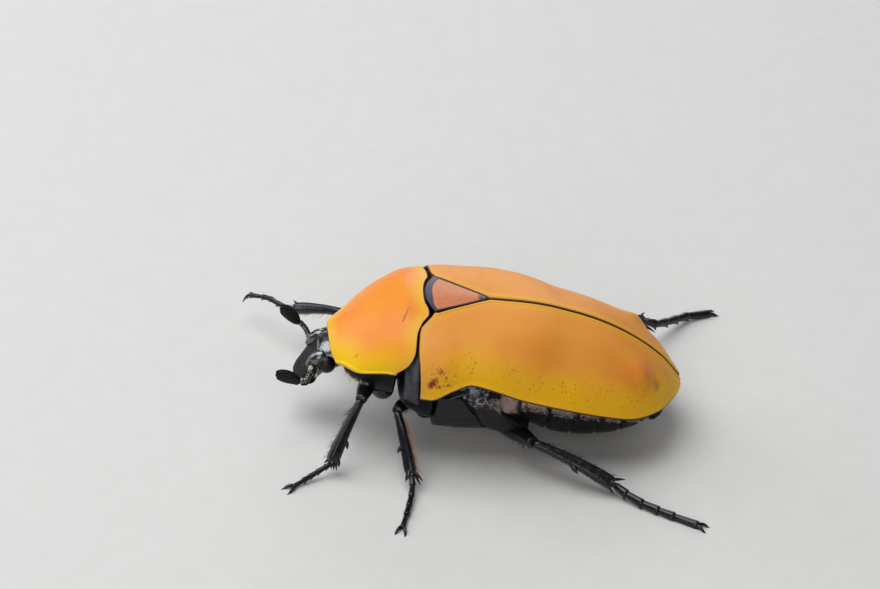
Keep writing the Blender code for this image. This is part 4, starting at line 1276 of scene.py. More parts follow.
@dataclass
class Underside:
    """Everything black under the back: thorax rings, flank plates, hind hips, hind body, pygidium."""

    stance: Stance
    back: Back
    joints: tuple[float, ...] = (6.6, 8.3, 10.0, 11.7, 13.3, 14.7)
    hip_path: tuple[tuple[float, float, float, float], ...] = (
        (0.5, 1.45, 4.95, 6.0), (2.3, 1.55, 4.85, 6.15), (3.8, 2.05, 4.6, 6.5), (4.75, 2.75, 4.25, 7.25),
        (5.25, 3.6, 3.7, 6.3), (5.5, 4.6, 3.1, 5.2), (5.55, 5.7, 2.5, 4.0))
    hip_depth: float = 1.2
    rim: tuple[Point, ...] = ((5.76, 1.35, 5.66), (5.76, 1.75, 5.9), (5.74, 2.2, 6.12), (5.7, 2.6, 6.25))
    flank: tuple[tuple[str, str, tuple[tuple[float, float], ...], float, float], ...] = (
        ("metepisternum", "slate", ((0.72, 5.6), (2.25, 5.7), (3.6, 4.0), (0.72, 3.7)), 0.14, 0.06),
        ("metasternum", "slate", ((0.72, 3.62), (3.55, 3.9), (4.55, 2.3), (0.8, 2.1)), 0.06, 0.06),
        ("metepimeron", "coarse", ((1.5, 7.3), (4.15, 7.1), (4.0, 5.4), (2.35, 5.72)), 0.16, 0.15))

    def prothorax(self) -> Trunk:
        """The ring under the pronotum.

        Returns:
            The ring.
        """
        back, inset = self.back, 0.8
        keel = Line(((-6.0, 4.5), (-4.6, 3.7), (-3.2, 3.1), (-1.9, 3.1)))

        def form(y: float) -> tuple[float, float, float, float]:
            """Half width, top, level and bottom."""
            return (back.pronotum_width.at(y) - inset - 0.1, back.pronotum_ridge.at(y) - inset,
                    back.pronotum_level.at(y) - 0.35, keel.at(y))

        return Trunk("prothorax_ring", np.linspace(-5.45, -1.9, 26), form, upper_power=1.95)

    def mesothorax(self) -> Trunk:
        """The ring that shows between the pronotum and the wing cases.

        Returns:
            The ring.
        """
        breast = Line(((-1.6, 3.3), (-0.8, 2.4), (0.0, 1.7), (1.0, 1.35)))
        width = Line(((-1.7, 4.6), (-1.2, 5.2), (0.6, 5.3)))

        def form(y: float) -> tuple[float, float, float, float]:
            """Half width, top, level and bottom."""
            return width.at(y), 9.3, 4.7, breast.at(y)

        return Trunk("mesothorax_ring", np.linspace(-1.75, 0.72, 20), form, lower_power=1.8)

    def metathorax(self) -> Trunk:
        """The broad ring between the middle and the hind legs.

        Returns:
            The ring.
        """
        belly = Line(((0.6, 1.35), (2.4, 1.25), (4.8, 1.45)))
        width = Line(((0.6, 5.5), (2.0, 5.45), (5.0, 5.4)))

        def form(y: float) -> tuple[float, float, float, float]:
            """Half width, top, level and bottom."""
            return width.at(y), 8.9, 5.3, belly.at(y)

        return Trunk("metathorax_ring", np.linspace(0.68, 4.85, 28), form, lower_power=2.4,
                     ends=(0.12, 0.08))

    def abdomen(self) -> Trunk:
        """The hind body, whose plates each overlap the next like roof tiles.

        Returns:
            The hind body.
        """
        back = self.back
        belly = Line(((4.9, 2.6), (7.0, 2.55), (8.6, 1.95), (10.5, 1.7), (12.5, 1.95), (14.2, 2.55),
                      (15.7, 3.4)))
        seams = np.array([4.9, *self.joints, 15.9])

        def form(y: float) -> tuple[float, float, float, float]:
            """The outline at a place along the body.

            Args:
                y: the place.

            Returns:
                Its half width, top, level and bottom.
            """
            i = int(np.clip(np.searchsorted(seams, y, side="right") - 1, 0, len(seams) - 2))
            share = (y - seams[i]) / (seams[i + 1] - seams[i])
            fold = 0.12 - 0.15 * fade(share, 0.0, 0.18) - 0.03 * share + 0.05 * fade(share, 0.93, 1.0)
            half = min(float(back.elytra_width.at(y)), 6.2) - 0.95 - fold
            top = back.elytra_ridge.at(y) - 1.0 - 0.7 * fade(y, 13.0, 16.0)
            return half, float(top), float(back.elytra_edge.at(y)) - 0.35, float(belly.at(y)) + fold

        edges: list[float] = []
        shares = (0.0, 0.03, 0.08, 0.14, 0.2, 0.35, 0.5, 0.65, 0.8, 0.92, 0.97)
        for near, far in zip(seams, seams[1:]):
            span = min(far, 15.75) - near
            edges += [near + span * share for share in shares]
        stations = np.array([4.92, 4.96, 5.02, *[y for y in edges if y > 5.05], 15.6, 15.7, 15.75])
        return Trunk("hind_body", np.unique(np.round(stations, 4)), form, lower_power=2.75, sides=96,
                     end_round=0.35, ends=(0.06, 0.35))

    def hip_plate(self, side: float, name: str) -> Object:
        """A broad hind hip that wraps the flank and ends in a lobe towards the rear.

        Args:
            side: 1 for left, -1 for right.
            name: the piece's name.

        Returns:
            The plate in body millimetres.
        """
        rings, last = 34, len(self.hip_path) - 1.0
        spots = np.linspace(0.0, last, rings)
        x, z, start, end = columns(self.hip_path, spots)
        run = np.stack([np.gradient(x), np.gradient(z)], axis=-1)
        run /= np.linalg.norm(run, axis=-1, keepdims=True)
        depth = self.hip_depth * (0.35 + 0.65 * arc(np.minimum(spots, last - spots) / 0.5))

        def carry(i: Array, turn: Array) -> Array:
            """Carry the straight blank round the flank.

            Args:
                i: each corner's ring number.
                turn: its turn round the ring.

            Returns:
                The corners' places.
            """
            along = squared(np.cos(turn), 0.5) * (end - start)[i] / 2.0
            out = (squared(np.sin(turn), 0.6) - 1.0) * depth[i] / 2.0
            return np.stack([side * (x[i] + run[i, 1] * out), (start + end)[i] / 2.0 + along,
                             z[i] - run[i, 0] * out], axis=-1)

        return Bench.blank(name, rings, 48, carry)

    def flank_plate(self, name: str, trunk: Trunk, corners: Sequence[tuple[float, float]], side: float,
                    lift: float, bulge: float) -> Object:
        """A raised plate on the flank, between four corners seen from the side.

        Args:
            name: the piece's name.
            trunk: the ring that it lies on.
            corners: (along, up) of the upper front, upper rear, lower rear and lower front.
            side: 1 for left, -1 for right.
            lift: how proud of the ring it stands.
            bulge: how much its middle swells.

        Returns:
            The plate in body millimetres.
        """
        def surface(along: Array, across: Array) -> Array:
            """Points of the plate.

            Args:
                along: shares from front to rear.
                across: shares from the upper to the lower edge.

            Returns:
                The points in body millimetres.
            """
            y, z = np.moveaxis(between(np.array(corners), along, across), -1, 0)
            dome = bulge * (1 - (2 * along - 1) ** 2) * (1 - (2 * across - 1) ** 2)
            return np.stack([side * (trunk.side_x(y, z) + lift + dome), y, z], axis=-1)

        return Plate(name, 30, 30, surface, wall=0.25, roll=0.07, axis_height=4.5).build()

    def build(self) -> None:
        """Make and mount the black body."""
        matrix, chitin = self.stance.body(), Slot.CHITIN
        smooth = ChitinFinish("breast_shell", roughness=0.28, pit_share=0.35, specular=0.1).make(self.stance)
        corner = ChitinFinish("corner_plate", roughness=0.3, pits_per_mm=5.0, pit_depth=0.02, pit_share=0.3,
                              tint=(0.022, 0.024, 0.032), specular=0.45).make(self.stance)
        plates = {
            "slate": ChitinFinish("slate_plate", roughness=0.32, pits_per_mm=5.0, pit_depth=0.02,
                                  pit_share=0.3, tint=(0.009, 0.01, 0.012), specular=0.25).make(self.stance),
            # The coarse plate gets painted highlight lines between its pits.
            "coarse": ChitinFinish("coarse_plate", roughness=0.12, pits_per_mm=3.2, pit_depth=0.16,
                                   pit_share=1.2, specular=0.5, painted_glint=0.8).make(self.stance)}
        hips = ChitinFinish("hip_shell", roughness=0.28, pits_per_mm=3.5, pit_depth=0.05, pit_share=0.7,
                            dust=0.9, dust_colour=(0.42, 0.33, 0.32), dust_above=4.9,
                            specular=0.25).make(self.stance)
        rear = self.metathorax()
        Bench.mount(self.prothorax().build(), matrix, smooth, chitin, "prothorax")
        waist = Bench.rod("waist", ((0.0, -2.7, 5.35), (0.0, -1.3, 5.35)), (2.05, 2.05), 40, 4, cap=0.1)
        middle = Bench.join("mesothorax_ring", [self.mesothorax().build(), waist])
        Bench.mount(middle, matrix, smooth, chitin, "mesothorax")
        prong = Bench.rod("breast_prong", ((0.0, 1.7, 1.75), (0.0, 0.5, 1.7), (0.0, -0.45, 1.85)),
                          (0.4, 0.42, 0.3), 16, 10, cap=0.3)
        ring = Bench.join("metathorax_ring", [rear.build(), prong])
        Bench.mount(ring, matrix, smooth, chitin, "metathorax")
        Bench.mount(self.abdomen().build(), matrix, SideFinish().make(self.stance), chitin, "abdomen")
        for side, sign in SIDES:
            Bench.mount(self.wedge(f"mesepimeron_{side}", sign), matrix, corner, chitin)
            for name, finish, corners, lift, bulge in self.flank:
                plate = self.flank_plate(f"{name}_{side}", rear, corners, sign, lift, bulge)
                Bench.mount(plate, matrix, plates[finish], chitin)
            path = [(sign * x, y, z) for x, y, z in self.rim]
            rim = Bench.rod(f"flank_rim_{side}", path, (0.04, 0.08, 0.09, 0.04), 12, 16, cap=0.03)
            Bench.mount(rim, matrix, corner, chitin)
            hip = self.hip_plate(sign, f"hind_hip_{side}")
            Bench.mount(hip, matrix, hips, chitin, f"leg_hind_{side}_coxa")
        self.pygidium(matrix)

    def wedge(self, name: str, side: float) -> Object:
        """The slate wedge that fills the corner between the pronotum and a wing case.

        Args:
            name: the piece's name.
            side: 1 for left, -1 for right.

        Returns:
            The wedge in body millimetres.
        """
        corners = np.array([(3.75, -1.75, 8.35), (4.6, -0.75, 8.35), (5.78, -0.55, 4.95), (5.2, -1.5, 5.0)])

        def surface(along: Array, across: Array) -> Array:
            """Points of the wedge.

            Args:
                along: shares from front to rear.
                across: shares from top to bottom.

            Returns:
                The points in body millimetres.
            """
            dome = 0.28 * (1 - (2 * along - 1) ** 2) ** 0.7 * (1 - (2 * across - 1) ** 4)
            flat = between(corners, along, across)
            flat[..., 0] += 0.5 * np.sin(across * np.pi)
            return (flat + dome[..., None] * np.array([0.8, -0.6, 0.0])) * np.array([side, 1.0, 1.0])

        return Plate(name, 30, 40, surface, wall=0.3, roll=0.08).build()

    def pygidium(self, matrix: Matrix) -> None:
        """Make and mount the plate that closes the body at the rear.

        Args:
            matrix: the body's frame.
        """
        ball = Bench.ball("pygidium_plate", (2.8, 0.55, 1.25))
        lean = Matrix.Rotation(math.radians(-38.0), 4, "X")
        Bench.place(ball, Matrix.Translation((0.0, 15.95, 3.55)) @ lean)
        finish = ChitinFinish("pygidium_shell", roughness=0.35, pits_per_mm=3.0, pit_depth=0.05,
                              pit_share=0.8, dust=0.15, dust_colour=(0.25, 0.22, 0.2),
                              specular=0.2).make(self.stance)
        Bench.mount(ball, matrix, finish, Slot.CHITIN, "pygidium")


@dataclass
class Head:
    """The bent-down head with its long clypeus, eyes, mouthparts and feelers.

    The outline's rows run from the neck to the mouth: y and z of the face, y and z of the throat,
    and the half width.
    """

    stance: Stance
    outline: tuple[tuple[float, ...], ...] = (
        (-5.3, 5.85, -5.1, 4.3, 1.4), (-5.8, 5.88, -5.6, 3.95, 1.5), (-6.35, 5.82, -6.1, 3.6, 1.58),
        (-6.75, 5.66, -6.55, 3.4, 1.6), (-7.1, 5.28, -6.95, 3.2, 1.62), (-7.42, 4.72, -7.3, 3.0, 1.62),
        (-7.75, 4.0, -7.6, 2.8, 1.5), (-8.02, 3.4, -7.9, 2.55, 1.42), (-8.3, 2.85, -8.2, 2.3, 1.3),
        (-8.5, 2.45, -8.4, 2.15, 0.95))
    canthus: tuple[Point, ...] = (
        (1.22, -7.78, 4.1), (1.22, -7.56, 4.4), (1.22, -7.3, 4.68), (1.2, -6.98, 4.92), (1.1, -6.6, 5.08))
    palp: tuple[Point, ...] = (
        (0.5, -7.42, 2.55), (0.68, -7.52, 2.45), (0.8, -7.62, 2.37), (0.86, -7.8, 2.32), (0.9, -7.97, 2.3))
    eye: Point = (1.62, -6.52, 4.66)
    eye_radius: float = 0.62
    club_length: float = 1.82
    club_width: float = 0.78
    leaf_spacing: float = 0.16

    def capsule(self, name: str, first: float, last: float, swollen: float = 0.0) -> Object:
        """A length of the head: a disc extruded along its stations, then shaped.

        Args:
            name: the piece's name.
            first: where it starts, counted in stations from the neck.
            last: where it ends.
            swollen: how far it stands proud of the head's outline, in millimetres.

        Returns:
            A closed piece in body millimetres.
        """
        rings = 36
        spots = np.linspace(first, last, rings)
        face_y, face_z, throat_y, throat_z, half = columns(self.outline, spots)
        front, back = np.stack([face_y, face_z], -1), np.stack([throat_y, throat_z], -1)
        middle = (front + back) / 2.0

        def carry(i: Array, turn: Array) -> Array:
            """Carry the blank onto the head, with a raised rim round the clypeus.

            Args:
                i: each corner's ring number.
                turn: its turn round the ring.

            Returns:
                The corners' places.
            """
            brow = swell(spots - 4.4, 1.8)[i]
            round_off = 0.26 * (1.0 - fade(spots, 2.8, 4.2))[i]
            across = squared(np.cos(turn), 0.72 - 0.16 * brow + round_off)
            out = squared(np.sin(turn), 0.8 - 0.22 * brow + round_off)
            clypeus = fade(spots, 4.6, 6.0)[i]
            rim = swell(np.abs(across) - 0.93, 0.16) * (out > 0.0)
            dish = -0.16 * np.clip(1.0 - np.abs(across) / 0.8, 0.0, 1.0) ** 0.7 * (out > 0.2)
            reach = out * (1.0 + clypeus * (0.22 * rim + dish))
            lift = swollen * (arc((spots[-1] - spots) / 0.4) + arc((spots - spots[0]) / 0.25) - 1.0)[i]
            half_depth = (front - middle)[i]
            span = np.linalg.norm(half_depth, axis=1)
            place = middle[i] + half_depth * (reach * (1.0 + lift / span))[:, None]
            x = across * (half[i] + lift) * (1.0 + 0.05 * clypeus * rim)
            return np.stack([x, place[:, 0], place[:, 1]], axis=-1)

        return Bench.blank(name, rings, 64, carry)

    def mouth(self) -> Object:
        """The jaws under the clypeus with their jointed palps.

        Returns:
            The mouthparts in body millimetres.
        """
        parts = [Bench.ball("jaws", (0.9, 0.55, 0.5), (0.0, -7.42, 2.55), 32, 20)]
        for _, sign in SIDES:
            path = [(sign * x, y, z) for x, y, z in self.palp]
            parts.append(Bench.rod("palp", path, (0.19, 0.15, 0.17, 0.12, 0.09), 12, 18, cap=0.08))
        return Bench.join("mouth_parts", parts)

    def feeler(self, side: str) -> tuple[Object, Object]:
        """One feeler.

        Args:
            side: left or right.

        Returns:
            The jointed stem, and the club of three leaves.
        """
        routes = {
            "left": ((1.3, -7.3, 4.0), (1.8, -7.55, 3.85), (2.0, -7.72, 3.5), (2.0, -7.8, 3.32),
                     (0.05, -0.95, 0.28)),
            "right": ((-1.3, -7.4, 4.2), (-1.8, -7.66, 4.52), (-2.1, -7.93, 4.85), (-2.2, -8.05, 4.97),
                      (-0.05, -0.8, 0.62))}
        root, elbow, bend, end, aim = (Vector(point) for point in routes[side])
        aim = aim.normalized()
        base = end + aim * 0.2
        path = (root, root.lerp(elbow, 0.6), elbow)
        parts = [Bench.rod("scape", path, (0.17, 0.2, 0.26), 14, 10, cap=0.1)]
        stops = [elbow, elbow.lerp(bend, 0.33), elbow.lerp(bend, 0.66), bend, bend.lerp(base, 0.5),
                 base + aim * 0.12]
        for near, far in zip(stops, stops[1:]):
            path = (near, near.lerp(far, 0.6), far + (far - near) * 0.25)
            parts.append(Bench.rod("bead", path, (0.17, 0.2, 0.19), 14, 8, cap=0.04))
        stem = Bench.join(f"feeler_stem_{side}", parts)
        half = self.club_length / 2.0
        turn = aim.to_track_quat("Y", "Z").to_matrix().to_4x4()
        leaves = []
        for i, size in ((-1, 0.95), (0, 1.0), (1, 0.95)):
            sizes = (0.105, half * size, self.club_width / 2.0 * size)
            leaf = Bench.ball("leaf", sizes, segments=28, rings=20)
            Bench.shape(leaf, lambda c, i=i: c + np.stack(
                [0.06 * i * np.maximum(c[:, 1] + half, 0.0) ** 1.5, 0.0 * c[:, 0], -0.1 * c[:, 1] ** 2], -1))
            place = Matrix.Translation(base + aim * (half + 0.1)) @ turn
            Bench.place(leaf, place @ Matrix.Translation((i * self.leaf_spacing, 0.0, 0.0)))
            leaves.append(leaf)
        return stem, Bench.join(f"feeler_club_{side}", leaves)

    def build(self) -> None:
        """Make and mount the head."""
        matrix, chitin = self.stance.body(), Slot.CHITIN
        glossy = ChitinFinish("head_shell", roughness=0.12, pits_per_mm=6.0, pit_depth=0.012,
                              pit_share=0.45, specular=1.0, ior=1.75).make(self.stance)
        brown = ChitinFinish("club_shell", roughness=0.4, pits_per_mm=9.0, pit_depth=0.01, pit_share=0.9,
                             tint=(0.008, 0.005, 0.004), specular=0.25).make(self.stance)
        matt = ChitinFinish("face_shell", roughness=0.3, pits_per_mm=8.0, pit_depth=0.015, pit_share=0.9,
                            tint=(0.014, 0.014, 0.013), specular=0.018).make(self.stance)
        parts = [self.capsule("head_crown", 0.0, 4.3, 0.05)]
        for _, sign in SIDES:
            path = [(sign * x, y, z) for x, y, z in self.canthus]
            parts.append(Bench.rod("canthus", path, (0.14, 0.3, 0.44, 0.5, 0.4), 24, 28, cap=0.1))
        Bench.mount(Bench.join("head_crown", parts), matrix, glossy, chitin, "head", angle=50.0)
        Bench.mount(self.capsule("head_face", 3.8, 9.0), matrix, matt, chitin, angle=50.0)
        Bench.mount(self.mouth(), matrix, matt, chitin, "mouthparts")
        lens = EyeFinish().make(self.stance)
        radius, (x, y, z) = self.eye_radius, self.eye
        for side, sign in SIDES:
            eye = Bench.ball(f"eye_lens_{side}", (0.85 * radius, radius, radius), (sign * x, y, z))
            Bench.mount(eye, matrix, lens, Slot.EYE, f"eye_{side}")
            stem, club = self.feeler(side)
            Bench.mount(stem, matrix, glossy, chitin, f"antenna_stem_{side}")
            Bench.mount(club, matrix, brown, chitin, f"antenna_club_{side}")


class Pair(Enum):
    """The three pairs of legs."""

    FRONT = "front"
    MID = "mid"
    HIND = "hind"


@dataclass(frozen=True)
class Build:
    """How thick a pair of legs is, and what arms its shins."""

    femur: float
    bow: float
    tibia: float
    tarsus: float
    teeth: tuple[float, ...]
    spur: float
    bristles: int
    rows: int


BUILDS = {Pair.FRONT: Build(0.62, 0.06, 0.45, 0.2, (0.62, 0.9), 0.7, 50, 0),
          Pair.MID: Build(0.58, 0.06, 0.42, 0.22, (0.55,), 1.35, 150, 5),
          Pair.HIND: Build(0.74, 0.02, 0.5, 0.31, (0.5,), 1.3, 120, 12)}


@dataclass
class Leg:
    """One leg, from its hip in the standing frame to its claws."""

    stance: Stance
    pair: Pair
    side: str
    hip: Point
    knee: Point
    ankle: Point
    path: tuple[Point, ...]
    shares: tuple[float, ...] = (0.16, 0.2, 0.19, 0.18, 0.27)
    claw: float = 0.95
    hook: float = 0.34
    clearance: float = 0.15
    shin_bow: float = 0.03
    shaft: float = 0.98

    def __post_init__(self) -> None:
        """Work out the leg's side and build."""
        self.sign = dict(SIDES)[self.side]
        self.outer = self.sign * (1.0 if self.pair is Pair.FRONT else -1.0)
        self.make = BUILDS[self.pair]
        self.label = f"{self.pair.value}_{self.side}"

    @staticmethod
    def lie(start: Vector, end: Vector) -> Matrix:
        """The frame of a limb.

        Args:
            start: its near end.
            end: its far end.

        Returns:
            A matrix with +Z along the limb and +Y towards the sky.
        """
        along = (end - start).normalized()
        across = along.cross(Vector((0.0, 0.0, 1.0))).normalized()
        lift = across.cross(along).normalized()
        turn = Matrix((-across, lift, along)).transposed().to_4x4()
        return Matrix.Translation(start) @ turn

    def thigh(self) -> Object:
        """The femur: full in the middle, with a collar and a cup at the knee.

        Returns:
            The thigh in the standing frame.
        """
        hip, knee = Vector(self.hip), Vector(self.knee)
        length = (knee - hip).length
        full = Line(((0.0, 0.4), (0.08, 0.66), (0.25, 0.92), (0.5, 1.0), (0.75, 0.85), (0.9, 0.68),
                     (0.945, 0.62), (0.975, 0.66), (1.0, 0.5)))
        stations = []
        for share in (0.0, 0.03, 0.08, 0.16, 0.25, 0.37, 0.5, 0.62, 0.74, 0.84, 0.9, 0.93, 0.955, 0.975,
                      0.99, 1.0):
            radius = float(full.at(share)) * self.make.femur
            arch = self.make.bow * length * math.sin(math.pi * share)
            stations.append((0.0, arch, length * share, radius, radius * 0.86))
        thigh = Bench.limb(f"thigh_{self.label}", stations, 20)
        Bench.apply(thigh, "SUBSURF", levels=1, render_levels=1)
        Bench.place(thigh, self.lie(hip, knee))
        return thigh

    def shin(self) -> Object:
        """The tibia: ridged, widening to its end, with teeth, spurs and spines.

        Returns:
            The shin in the standing frame.
        """
        knee, ankle = Vector(self.knee), Vector(self.ankle)
        length = (ankle - knee).length
        size, outer = self.make.tibia, self.outer
        full = Line(((0.0, 0.5), (0.05, 0.66), (0.1, 0.66), (0.3, 0.74), (0.6, 0.86), (0.85, 1.0),
                     (0.95, 0.98), (1.0, 0.8)))
        stations = []
        for share in (0.0, 0.02, 0.05, 0.1, 0.18, 0.28, 0.4, 0.52, 0.64, 0.75, 0.84, 0.9, 0.95, 0.98, 1.0):
            radius = float(full.at(share)) * size
            arch = self.shin_bow * length * math.sin(math.pi * share)
            stations.append((0.0, arch, length * share * self.shaft, radius, radius))
        shaft = Bench.limb("shaft", stations, 24)

        def ridge(corners: Array) -> Array:
            """Raise keels along the shin and flatten the faces between them.

            Args:
                corners: the shaft's corners, in the limb's frame.

            Returns:
                Their new places.
            """
            share = np.clip(corners[:, 2] / length / self.shaft, 0.0, 1.0)
            arch = self.shin_bow * length * np.sin(np.pi * share)
            flat = corners[:, 1] - arch
            turn = np.arctan2(flat, corners[:, 0])
            swollen = 1.0 + 0.09 * np.cos(4.0 * turn + 0.5) * fade(corners[:, 2], 0.1 * length, 0.3 * length)
            return np.stack([corners[:, 0] * swollen, arch + flat * swollen, corners[:, 2]], -1)

        Bench.shape(shaft, ridge)
        Bench.apply(shaft, "SUBSURF", levels=1, render_levels=1)
        parts = [shaft]
        matrix = self.lie(knee, ankle)
        for tooth in self.make.teeth:
            root = Vector((outer * size * 0.3, 0.0, length * tooth))
            tip = root + Vector((outer * size * 1.15, 0.0, size * 0.9))
            middle = root.lerp(tip, 0.5) + Vector((outer * size * 0.12, 0.0, -size * 0.12))
            radii = (size * 0.5, size * 0.34, size * 0.08)
            parts.append(Bench.rod("tooth", (root, middle, tip), radii, 12, 8))
        for lean, reach in ((-0.55, 1.0), (0.35, 0.8)):
            root = Vector((-outer * size * 0.35, size * lean * 0.4, length * 0.93))
            aim = Vector((-outer * 0.45, lean, 1.0)).normalized()
            parts.append(self.spine(matrix, root, aim, self.make.spur * reach, 0.13, 14))
        for lean in (-0.6, 0.1, 0.7):
            root = Vector((outer * size * 0.3, size * lean * 0.6, length * 0.92))
            aim = Vector((outer * 0.5, lean * 0.6, 1.2)).normalized()
            parts.append(self.spine(matrix, root, aim, 0.75, 0.12, 10))
        rng = np.random.default_rng(7 + len(self.label))
        rows = self.make.rows
        for lean in (0.75, -0.75):
            for i in range(rows):
                share = 0.22 + 0.66 * (i + 0.5 * (lean < 0.0) + rng.uniform(-0.25, 0.25)) / rows
                radius = float(full.at(share)) * size
                turn = math.atan2(lean, outer)
                arch = self.shin_bow * length * math.sin(math.pi * share)
                root = Vector((math.cos(turn) * radius * 0.85, arch + math.sin(turn) * radius * 0.85,
                               length * share * self.shaft))
                aim = Vector((math.cos(turn), math.sin(turn), 1.1 + rng.uniform(-0.2, 0.2))).normalized()
                parts.append(self.spine(matrix, root, aim, rng.uniform(0.14, 0.24), 0.04, 6))
        shin = Bench.join(f"shin_{self.label}", parts)
        Bench.place(shin, matrix)
        return shin

    def spine(self, matrix: Matrix, root: Vector, aim: Vector, length: float, radius: float,
              sides: int) -> Object:
        """A tapered, slightly bowed spine that stays clear of the floor.

        Args:
            matrix: the limb's frame.
            root: where it starts, in the limb's frame.
            aim: where it points.
            length: its length.
            radius: its radius at the root.
            sides: corners of a ring.

        Returns:
            The spine in the limb's frame.
        """
        tip = root + aim * length
        world = matrix @ tip
        if world.z < self.clearance:
            world.z = self.clearance
            tip = matrix.inverted() @ world
        middle = root.lerp(tip, 0.5) + Vector((0.0, 0.04 * length, 0.0))
        return Bench.rod("spine", (root, middle, tip), (radius, radius * 0.75, radius * 0.12), sides, 7)

    def walk(self, share: float) -> Vector:
        """A point on the foot's path.

        Args:
            share: how far along the path, from 0 to 1.

        Returns:
            The point in the standing frame.
        """
        route = [Vector(self.ankle)] + [Vector(point) for point in self.path]
        lengths = [(far - near).length for near, far in zip(route, route[1:])]
        left = share * sum(lengths)
        for near, far, length in zip(route, route[1:], lengths):
            if left <= length or far is route[-1]:
                return near + (far - near) * min(left / length, 1.0)
            left -= length
        return route[-1]

    def joint(self) -> Object:
        """One foot joint that widens to its end, with two spines below.

        Returns:
            The joint, of length and radius 1.
        """
        profile = ((0.0, 0.62), (0.03, 0.8), (0.12, 0.86), (0.35, 0.9), (0.6, 0.96), (0.8, 1.04),
                   (0.9, 1.06), (0.97, 0.98), (1.0, 0.75))
        stations = [(0.0, 0.0, z, r, r) for z, r in profile]
        body = Bench.limb("joint", stations, 14)
        Bench.apply(body, "SUBSURF", levels=1, render_levels=1)
        parts = [body]
        for x in (-0.5, 0.5):
            path = ((x, -0.7, 0.88), (x * 1.2, -1.0, 1.0), (x * 1.3, -1.15, 1.1))
            parts.append(Bench.rod("spine", path, (0.16, 0.1, 0.03), 6, 5))
        return Bench.join("joint", parts)

    def foot(self) -> Object:
        """The tarsus: five joints and two hooked claws, flat where it meets the floor.

        Returns:
            The foot in the standing frame.
        """
        pattern, parts, reach = self.joint(), [], 0.0
        size = self.make.tarsus
        for i, share in enumerate(self.shares):
            start, end = self.walk(reach), self.walk(reach + share)
            reach += share
            wide = size * (1.0 if i < 4 or self.pair is Pair.HIND else 0.86)
            scale = Matrix.Diagonal((wide, wide, (end - start).length * 1.04, 1.0))
            parts.append(Bench.copy(pattern, "joint", self.lie(start, end) @ scale))
        Bench.discard(pattern)
        tip = self.walk(1.0)
        heading = (Vector(self.path[-1]) - Vector(self.path[-2])).normalized()
        sideways = heading.cross(Vector((0.0, 0.0, 1.0))).normalized()
        for _, sign in SIDES:
            points = []
            for share in (0.0, 0.2, 0.45, 0.7, 0.88, 1.0):
                spread = sideways * sign * (0.06 + 0.3 * math.sin(share * 1.4)) * self.claw
                drop = Vector((0.0, 0.0, 0.16 * math.sin(share * math.pi * 0.8) - self.hook * share * share))
                points.append(tip - heading * 0.12 + heading * share * self.claw * 0.9 + spread + drop)
            parts.append(Bench.rod("claw", points, (0.13, 0.125, 0.11, 0.085, 0.055, 0.02), 10, 14))
        foot = Bench.join(f"foot_{self.label}", parts)
        Bench.shape(foot, lambda c: np.stack([c[:, 0], c[:, 1], np.maximum(c[:, 2], 0.0)], -1))
        return foot

    def hip_joint(self) -> Object:
        """The short hip of a front or middle leg.

        Returns:
            The hip in body millimetres.
        """
        spots, radii = {
            Pair.FRONT: (((3.0, -2.45, 4.1), (2.1, -2.6, 3.5), (1.15, -2.7, 3.1)), (0.5, 0.78, 0.6)),
            Pair.MID: (((2.2, 0.75, 2.1), (1.6, 0.55, 1.75), (1.15, 0.45, 1.6)), (0.45, 0.7, 0.45)),
        }[self.pair]
        points = [(self.sign * x, y, z) for x, y, z in spots]
        return Bench.rod(f"hip_{self.label}", points, radii, 24, 16, cap=0.35)

    def build(self, finishes: dict[str, Material]) -> None:
        """Make and mount the leg.

        Args:
            finishes: the leg's materials by name.
        """
        floor, body, chitin = self.stance.floor(), self.stance.body(), Slot.CHITIN
        node = f"leg_{self.label}"
        if self.pair is not Pair.HIND:
            Bench.mount(self.hip_joint(), body, finishes["smooth"], chitin, f"{node}_coxa")
        Bench.mount(self.thigh(), floor, finishes["smooth"], chitin, f"{node}_femur")
        shin = finishes["rough"] if self.pair is Pair.HIND else finishes["smooth"]
        Bench.mount(self.shin(), floor, shin, chitin, f"{node}_tibia")
        Bench.mount(self.foot(), floor, finishes["smooth"], chitin, f"{node}_tarsus")


